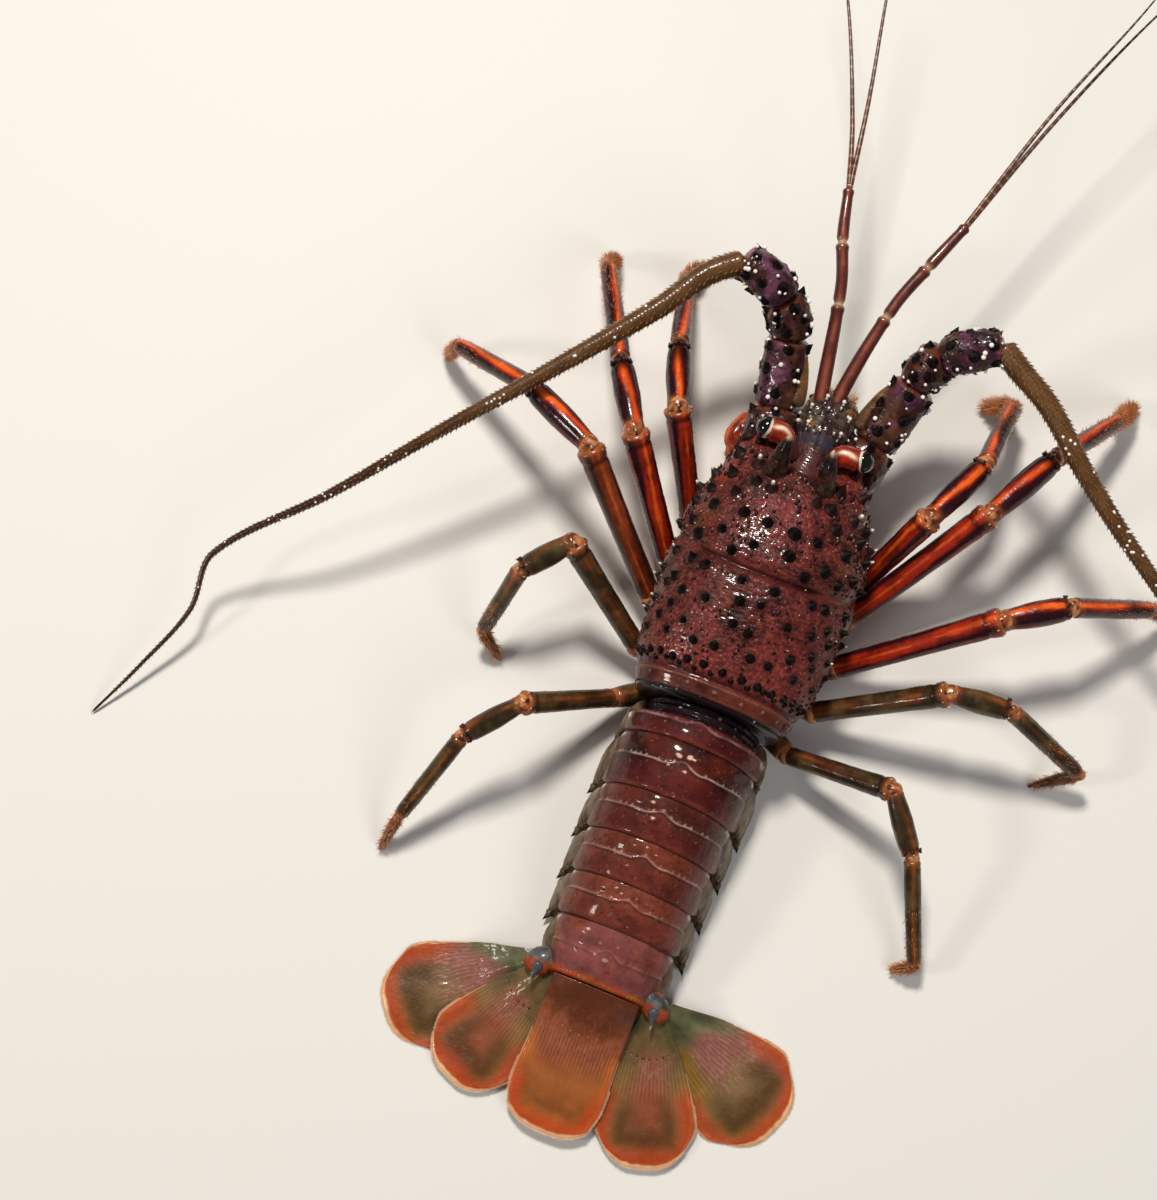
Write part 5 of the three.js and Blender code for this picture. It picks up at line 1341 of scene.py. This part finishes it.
ANTENNULES = {
    "left": dict(
        stalk=[[-3, 70, 38, 2.4], [-5.3, 82, 40.5, 2.7], [-12.5, 117.5, 50, 2.2], [-18.5, 134, 54, 2.2],
               [-23, 152, 56, 1.8]],
        outer=[[-23, 152, 56], [-31, 176.5, 58], [-49, 219, 62], [-72, 262, 62]],
        inner=[[-22.6, 152, 56], [-28, 185, 60], [-36, 224, 66], [-44, 268, 70]]),
    "right": dict(
        stalk=[[3, 70, 38, 2.4], [1.5, 81, 40.5, 2.7], [8, 117, 50, 2.2], [15, 136, 54, 2.2],
               [22, 154, 56, 1.8]],
        outer=[[22, 154, 56], [39, 206, 58], [59, 257, 60], [72, 282, 59]],
        inner=[[21.6, 154, 56], [36, 204, 61], [53, 250, 66], [60, 272, 68]]),
}


def antennule(side):
    spec = ANTENNULES[side]
    piece = Piece()
    fine, run = curve(spec["stalk"], 0.4)
    share = run / run[-1]
    knots = [0.5, 0.76, 1.0]
    pinch = np.min([1 - 0.3 * bump((share - k) * run[-1]) for k in knots[:2]], axis=0)
    collar = np.max([0.28 * bump((share - k) * run[-1] / 1.2 + 1.4) for k in knots], axis=0)
    girth = (fine[:, 3] * pinch + collar) * round_ends(share, 0.8, run[-1], 2.2) + 0.03
    grid, _, deg = rings(fine[:, :3], girth, girth * 0.95, 44)
    line = bump((deg - 90) / 20)[None]
    shade = coats(0x5A241C,
        (0x8E4834, 0.7 * line * blots(grid, 6, 12, 0.3, 0.6)),
        (0x2C1412, 0.6 * (bump((deg - 40) / 16) + bump((deg - 140) / 16))))
    for k in knots[:2]:
        shade = mix(shade, 0xC8A07C, 0.7 * bump((share - k) * run[-1] / 1.1)[:, None])
    shade = mix(shade, 0x3A1A16, 0.5 * blots(grid, 5, 2, 0.45, 0.7))
    piece.tube(grid, shade)
    piece.build("antennule_%s_stalk_fine" % side, MAT["antennule"],
                ["antennule_%s_stalk" % side])
    for branch in ("outer", "inner"):
        lash = Piece()
        fine, run = curve(spec[branch], 0.32)
        girth = 1.14 - 0.9 * run / run[-1]
        phase = run / 0.95
        thin = girth * (1 - 0.12 * (0.5 + 0.5 * np.cos(2 * np.pi * phase)))
        grid, _, deg = rings(fine, thin, thin, 14)
        banded = (np.floor(phase) % 4 == 0)[:, None] + 0 * deg[None]
        shade = coats(0x5A3424,
            (0x2A1712, smooth(0, 1, run / run[-1])[:, None]),
            (0xB08860, 0.45 * banded))
        lash.tube(grid, shade)
        lash.build("antennule_%s_%s_fine" % (side, branch), MAT["antennule"],
                   ["antennule_%s_%s" % (side, branch)])


# Legs

GIRTH = {
    "coxa": [[0, 4.6], [0.25, 5.3], [0.8, 5.0], [1, 4.4]],
    "merus": [[0, 3.7], [0.06, 4.3], [0.12, 4.2], [0.55, 4.45], [0.88, 4.9], [0.95, 5.1], [1, 4.2]],
    "carpus": [[0, 3.3], [0.12, 3.9], [0.45, 4.7], [0.65, 4.65], [0.9, 4.3], [1, 3.4]],
    "propodus": [[0, 2.9], [0.08, 3.6], [0.4, 3.6], [0.9, 3.2], [1, 2.5]],
    "dactyl": [[0, 2.1], [0.2, 2.6], [0.7, 1.8], [0.92, 1.0], [1, 0.45]],
}
LEG_SIZE = {1: 1, 2: 1.02, 3: 1.02, 4: 0.92, 5: 0.84}
LEGS = {
    "left_1": [[-34, 27], [44, -32, 41], [27, -19, -15], [44, -15, -33], [15, 24]],
    "left_2": [[-35, 7.5], [55, -41, 41], [29, -31, -12], [55, -27, -28], [19, -2]],
    "left_3": [[-36, -8], [64, -48, 35], [32, -63, -9], [46, -70, -34], [19, -97]],
    "left_4": [[-34, -27], [51, -60, 41], [21, -137, -17], [35, -159, -52], [16, 122]],
    "left_5": [[-35, -48], [43, -125, 39], [24, -139, -12], [41, -159, -32], [18, -165]],
    "right_1": [[33, 25], [42, 31, 47], [30, 23, -8], [41, 6, -34], [19, -82]],
    "right_2": [[34, 12], [65, 35, 26], [32, 27, -4], [46, 31, -33], [19, 19]],
    "right_3": [[35, -8], [66, 57, 25], [24, 57, 0], [43, 60, -34], [20, 76]],
    "right_4": [[34, -26], [53, 66, 29], [22, 83, -5], [41, 102, -34], [21, -119]],
    "right_5": [[31, -44], [44, 93, 28], [24, 143, -10], [42, 154, -30], [11, -115]],
}


def stepped(start, length, heading, rise):
    h, r = math.radians(heading), math.radians(rise)
    level = length * math.cos(r)
    return start + np.array([level * math.sin(h), level * math.cos(h), length * math.sin(r)])


def leg_points(name):
    hip_at, merus, carpus, propodus, (length, heading) = LEGS[name]
    number = int(name[-1])
    side = -1 if name.startswith("left") else 1
    root_y = LEG_ROOTS[number - 1]
    root = np.array([side * (float(along(STERNUM_HALF, root_y)) - 2), root_y, 6.2])
    hip = np.array([hip_at[0], hip_at[1], 13.0])
    knee = stepped(hip, *merus)
    wrist = stepped(knee, *carpus)
    ankle = stepped(wrist, *propodus)
    fall = math.degrees(math.asin((ankle[2] - 0.7) / length))
    toe = stepped(ankle, length, heading, -fall)
    return dict(root=root, hip=hip, knee=knee, wrist=wrist, ankle=ankle, toe=toe)


def limb(piece, kind, a, b, number, side, seed):
    """One segment of a leg, with its long stripes, collars and dimples."""
    size = LEG_SIZE[number]
    length = np.linalg.norm(b - a)
    count = max(24, int(length / 0.5))
    share = np.linspace(0, 1, count)
    path = a + (b - a) * share[:, None]
    girth = along(GIRTH[kind], share) * size * 0.985
    ends = round_ends(share, 0.4, length, 4.2 * size)
    girth = girth * np.maximum(ends, 0.03)
    grid, out, deg = rings(path, girth, girth, 42)
    d = deg[None] + 0 * share[:, None]
    s = share[:, None] + 0 * deg[None]
    valley = -0.18 * bump((d - 90) / 13) * smooth(0.08, 0.2, s) * smooth(0.92, 0.8, s)
    valley = valley * (kind in ("merus", "propodus"))
    flute = 0.04 * np.cos(np.radians(d) * 5 + seed) * smooth(0.0, 0.2, s)
    lumps = 0.3 * (clouds(grid, 4, seed) - 0.5)
    collar = np.zeros_like(s)
    if kind in ("merus", "carpus"):
        collar = 0.38 * bump((s - 0.965) * length / 0.9) - 0.3 * bump((s - 0.9) * length / 1.0)
    if kind in ("carpus", "propodus"):
        collar = collar + 0.3 * bump((s - 0.05) * length / 0.8)
    grid = grid + out * ((valley + flute + lumps + collar) * ends[:, None])[..., None]
    if kind == "dactyl":
        grid[..., 2] -= 0.62 * smooth(0.8, 1.0, s)
    grid[..., 2] = np.maximum(grid[..., 2], 0.06)
    hind = number >= 4
    # Long stripes round the limb, brightest on the upper side
    aim = 90 + (9 if side > 0 else -9) + 6 * math.sin(seed) + 13 * np.sin(s * 3.4 + 1.7 * seed)
    off = np.abs(((d - aim + 180) % 360) - 180)
    wander = off + 22 * (clouds(np.stack([s * length * 0.3, d * 0.06, 0 * s], -1), 3, seed) - 0.5)
    dull = 1.0 if hind else 0.7 * (number == 3 and side < 0 and kind == "merus")
    orange = mix(0xE4601C, 0x98501F, dull)
    night = mix(0x230B12, 0x2C2012, dull)
    red = mix(0x94220C, 0x6A3418, dull)
    drawn = np.stack([s * length, d * 0.12, 0 * s], -1)
    red = mix(red, red * 0.5, blots(drawn, 7, seed + 30, 0.45, 0.7))
    # Half widths in degrees of the bright line, the red beside it and the dark flanks
    bright, warm, dusk = {
        "coxa": (9, 34, 70), "merus": (4, 32, 62), "carpus": (10, 19, 84), "propodus": (11, 24, 78),
        "dactyl": (14, 26, 60)}[kind]
    straight = np.stack([s * length, 0 * s, 0 * s], -1)
    glow = 0.6 if hind else 0.55 + 0.4 * smooth(0.3, 0.6, noise(straight, 9, seed + 31))
    if kind == "merus":
        glow = glow * 0.75
    shade = coats(0x7A3C1A if hind else 0xA04C20,
        (mix(red, night, 0.4), smooth(dusk + 58, dusk + 24, wander)),
        (night, smooth(dusk + 14, dusk - 6, wander) * 0.96),
        (red, smooth(warm + 9, warm - 3, wander) * (0.6 if hind else 0.95)),
        (orange, smooth(bright + 6, bright * 0.4, wander) * glow))
    if hind:
        shade = coats(shade,
            (0x564628, 0.6 * blots(grid, 6, seed + 4, 0.35, 0.65)),
            (0x241C10, 0.7 * blots(grid, 8, seed + 14, 0.5, 0.68)))
    band = bump((s - 1) * length / 2.2) + 0.8 * bump(s * length / 2.0)
    shade = mix(shade, 0xA85C32, np.clip(band, 0, 1) * 0.85)
    spot, who = cells(grid, 2.4, seed + 8)
    shade = coats(shade,
        (0xE8CCA8, 0.7 * (who > 0.6) * smooth(0.6, 0.3, spot) * np.clip(band, 0, 1)),
        (0x1A0C0C, 0.7 * bump((s - 0.9) * length / 1.0) * (kind in ("merus", "carpus"))))
    if kind == "dactyl":
        shade = mix(shade, 0x1E0E0A, 0.85 * smooth(0.72, 0.95, s))
    piece.tube(grid, shade)


def joint_ball(piece, centre, radius, seed):
    """The soft skin in a joint between two hard segments."""
    theta = np.linspace(0, 2 * np.pi, 40, endpoint=False)
    way = globe(np.linspace(0.02, np.pi - 0.02, 26)[:, None], theta)
    grid = centre + way * radius
    wrinkle = 0.25 * (noise(grid, 1.2, seed) - 0.5)
    shade = coats(0x8A4426,
        (0xC08050, blots(grid, 2.5, seed, 0.35, 0.65)),
        (0x2A1210, 0.7 * smooth(0.55, 0.7, noise(grid, 1.7, seed + 3))))
    grid = grid + way * wrinkle[..., None]
    piece.tube(grid, shade)


def limb_spines(piece, a, b, radius, places, length, seed):
    rng = np.random.default_rng(seed)
    for share, turn in places:
        way, ahead = round_line(a, b, turn + rng.uniform(-5, 5))
        foot = a + (b - a) * share + way * radius * 0.95
        piece.thorns(foot, ahead + way * 0.5, length * rng.uniform(0.8, 1.1), 0.75, 0x3A1A12,
                     0xE8D0A8, 0.55, sides=9, rings=7, bend=0.1)


def leg(name, order):
    number = int(name[-1])
    side = -1 if name.startswith("left") else 1
    size = LEG_SIZE[number]
    p = leg_points(name)
    seed = 100 + 7 * order
    upper = Piece()
    limb(upper, "coxa", p["root"], p["hip"], number, side, seed)
    limb(upper, "merus", p["hip"], p["knee"], number, side, seed + 1)
    joint_ball(upper, p["hip"], 4.3 * size, seed)
    limb_spines(upper, p["hip"], p["knee"], 4.7 * size, [(0.95, 130), (0.94, 50), (0.955, 10)], 2.0, seed)
    forward = unit(p["knee"] - p["hip"])
    foot = p["hip"] + (p["knee"] - p["hip"]) * 0.93 + np.array([0, 0, 4 * size])
    upper.thorns(foot, forward + np.array([0, 0, 0.5]), 3.6, 1.05, 0x4A1E12, 0xF0D8B0, 0.55,
                 sides=10, rings=9, bend=0.1)
    upper.build("leg_%s_upper_fine" % name, MAT["leg"], ["leg_%s_upper" % name])
    lower = Piece()
    for kind, start, end, radius, step in (("carpus", "knee", "wrist", 3.9, 2),
                                           ("propodus", "wrist", "ankle", 3.3, 4),
                                           ("dactyl", "ankle", "toe", 2.3, 6)):
        joint_ball(lower, p[start], radius * size, seed + step)
        limb(lower, kind, p[start], p[end], number, side, seed + step + 1)
    limb_spines(lower, p["knee"], p["wrist"], 4.3 * size, [(0.93, 95), (0.92, 40), (0.93, 150)], 1.7,
                seed + 5)
    lower.build("leg_%s_lower_fine" % name, MAT["leg"], ["leg_%s_lower" % name])
    return p


def leg_setae(points):
    """Orange bristles round the feet, thickest on the front legs."""
    piece = Piece()
    rng = np.random.default_rng(23)
    for k, (name, p) in enumerate(points.items()):
        number = int(name[-1])
        thick = {1: 860, 2: 700, 3: 360, 4: 240, 5: 240}[number]
        long = {1: 1.6, 2: 1.5}.get(number, 1.0)
        for part, (kind, a, b) in enumerate((("dactyl", p["ankle"], p["toe"]),
                                             ("propodus", p["wrist"], p["ankle"]))):
            if kind == "dactyl":
                count, grown = thick, long
                share = rng.uniform(0.04, 0.9, count)
            else:
                count, grown = thick // 2, 0.5 + 0.25 * long
                share = 1 - rng.random(count) ** 1.8 * 0.55
            turn = rng.uniform(0, 360, count)
            way, forward = round_line(a, b, turn)
            girth = along(GIRTH[kind], share) * LEG_SIZE[number]
            foot = a + (b - a) * share[:, None] + way * (0.93 * girth)[:, None]
            length = rng.uniform(1.3, 2.7, count) * grown
            aim = way * 0.8 + forward * 0.75 + rng.normal(0, 0.12, way.shape)
            tip = foot + unit(aim) * length[:, None]
            keep = (tip[:, 2] > 0.3) & (foot[:, 2] > 0.3)
            uv = np.column_stack([(k + 0.05 + 0.42 * part + 0.4 * share) / 10, 0.05 + 0.9 * turn / 360])
            tone = mix(0x9A4A14, 0xD88628, rng.random(count))
            piece.thorns(foot[keep], aim[keep], length[keep], 0.11, tone[keep], tone[keep] * 1.25, 0.3,
                         sides=3, rings=3, bend=0.15, flare=0.2, uv=uv[keep])
    piece.build("leg_setae", MAT["setae"], with_uv=True)


# Maxillipeds


MAXILLIPEDS = {
    "left": [[-8, 36, 7, 3.6], [-18, 45, 9, 4.2], [-28, 57, 13.5, 4], [-29.5, 63, 14.5, 3.8],
             [-24.5, 75, 14, 2.8], [-18, 83, 12.5, 1]],
    "right": [[8, 36, 7, 3.6], [16, 46, 9, 4], [21.5, 58, 12, 3.6], [22.5, 66, 13, 3.2],
              [18.5, 77, 13, 2.4], [14, 85, 12, 1]],
}


def maxilliped(name):
    piece = Piece()
    fine, run = curve(MAXILLIPEDS[name], 0.4)
    share = run / run[-1]
    pinch = 1 - 0.2 * bump((share - 0.52) * run[-1] / 1.2) - 0.2 * bump((share - 0.76) * run[-1] / 1.2)
    girth = fine[:, 3] * pinch * round_ends(share, 0.6, run[-1], 2.5) + 0.04
    grid, out, deg = rings(fine[:, :3], girth, girth, 60)
    grid = grid + out * (0.35 * (clouds(grid, 3, 5) - 0.5))[..., None]
    patch = clouds(grid, 5, 9)
    shade = mix(0xA83A1C, 0x6E1A0E, smooth(0.4, 0.65, patch))
    edge = np.maximum(bump((deg - 30) / 22), bump((deg - 150) / 22))
    shade = mix(shade, 0xD07848, 0.55 * edge)
    piece.tube(grid, shade)
    piece.build("maxilliped_%s_fine" % name, MAT["leg"], ["maxilliped_%s" % name])
    rng = np.random.default_rng(41)
    hair = Piece()
    count = 420
    pick = rng.integers(int(0.3 * len(fine)), len(fine) - 3, count)
    turn = rng.uniform(0, 360, count)
    way, ahead = round_path(fine, pick, turn)
    foot = fine[pick, :3] + way * (0.93 * girth[pick])[:, None]
    uv = np.column_stack([0.05 + 0.9 * pick / len(fine), 0.05 + 0.9 * turn / 360])
    hair.thorns(foot, way + ahead * 0.6, rng.uniform(1.2, 2.6, count), 0.1, 0xB8682E,
                0xE0B070, 0.4, sides=3, rings=3, flare=0.2, uv=uv)
    hair.build("maxilliped_%s_setae" % name, MAT["setae"], with_uv=True)


# The whole animal

carapace()
thorax()
for number in range(1, 7):
    abdomen_segment(number)
tail_vane("telson", "telson")
for side in ("left", "right"):
    tail_vane(side + "_inner", "uropod_%s_inner" % side)
    tail_vane(side + "_outer", "uropod_%s_outer" % side)
    eye(side)
    for step, part in enumerate(("base", "segment_1", "segment_2", "segment_3")):
        stalk_segment(side, part, STALKS[side]["seed"] + step)
    whip(side)
    antennule(side)
    maxilliped(side)
tail_fringe()
antennular_plate()
leg_setae({name: leg(name, order) for order, name in enumerate(LEGS)})

# Stage, light and camera

SKY = (0.93, 0.95, 1.0, 1)
SKY_STRENGTH = 0.11
FLOOR_REACH = 4.0
FLOOR_TONES = (0.66, 0.64, 0.6, 1), (0.7, 0.68, 0.64, 1)
WARM, COOL = (1.0, 0.95, 0.88), (0.95, 0.97, 1.0)
MIDDLE = (0, 0, 0.03)
# Camera: its place in metres, its lean and turn in degrees, its focus in pixels
CAMERA_PLACE = (0.0137, -0.2021, 0.8062)
CAMERA_TILT, CAMERA_ROLL = math.radians(14), math.radians(22)
FOCUS, PICTURE_HEIGHT, SENSOR = 2224, 1200, 36

scene = bpy.context.scene
scene.view_settings.view_transform = "Standard"
scene.world = bpy.data.worlds.new("studio")
scene.world.use_nodes = True
sky = scene.world.node_tree
join(sky, sky.nodes["Background"], {"Color": SKY, "Strength": SKY_STRENGTH})

floor_mesh = bpy.data.meshes.new("floor")
corners = [(x * FLOOR_REACH, y * FLOOR_REACH, 0) for x, y in ((-1, -1), (1, -1), (1, 1), (-1, 1))]
floor_mesh.from_pydata(corners, [], [(0, 1, 2, 3)])
floor = bpy.data.objects.new("floor", floor_mesh)
scene.collection.objects.link(floor)
floor_finish = bpy.data.materials.new("floor_finish")
floor_finish.use_nodes = True
tree = floor_finish.node_tree
floor_noise = make(tree, "TexNoise", {"Scale": 6.0})
floor_ramp = make(tree, "ValToRGB", {"Fac": floor_noise.outputs["Fac"]})
for stop, tone in zip(floor_ramp.color_ramp.elements, FLOOR_TONES):
    stop.color = tone
join(tree, tree.nodes["Principled BSDF"], {"Base Color": floor_ramp.outputs["Color"], "Roughness": 0.7})
floor_mesh.materials.append(floor_finish)


def lamp(name, place, target, size, power, colour, mirrored=True):
    light = bpy.data.lights.new(name, "AREA")
    light.shape = "DISK"
    light.size = size
    light.energy = power
    light.color = colour
    obj = bpy.data.objects.new(name, light)
    obj.location = place
    obj.rotation_mode = "QUATERNION"
    obj.rotation_quaternion = (Vector(target) - Vector(place)).to_track_quat("-Z", "Y")
    obj.visible_glossy = mirrored
    scene.collection.objects.link(obj)


lamp("key", (-0.4, 0.55, 1.3), MIDDLE, size=0.26, power=21, colour=WARM)
lamp("fill", (0.9, -0.5, 1.0), MIDDLE, size=0.7, power=6.5, colour=COOL, mirrored=False)
lamp("rim", (-0.9, -0.6, 0.8), (0, -0.05, 0.03), size=0.2, power=4, colour=WARM)

right = Vector((math.cos(CAMERA_ROLL), math.sin(CAMERA_ROLL), 0))
ahead = Vector((-math.sin(CAMERA_ROLL), math.cos(CAMERA_ROLL), 0))
back = Vector((0, 0, 1)) * math.cos(CAMERA_TILT) - ahead * math.sin(CAMERA_TILT)
up = ahead * math.cos(CAMERA_TILT) + Vector((0, 0, 1)) * math.sin(CAMERA_TILT)
camera_data = bpy.data.cameras.new("camera")
camera_data.sensor_width = SENSOR
camera_data.lens = SENSOR * FOCUS / PICTURE_HEIGHT
camera_data.clip_start = 0.01
camera = bpy.data.objects.new("camera", camera_data)
scene.collection.objects.link(camera)
rows = zip(right, up, back, CAMERA_PLACE)
camera.matrix_world = Matrix((*rows, (0, 0, 0, 1)))
scene.camera = camera
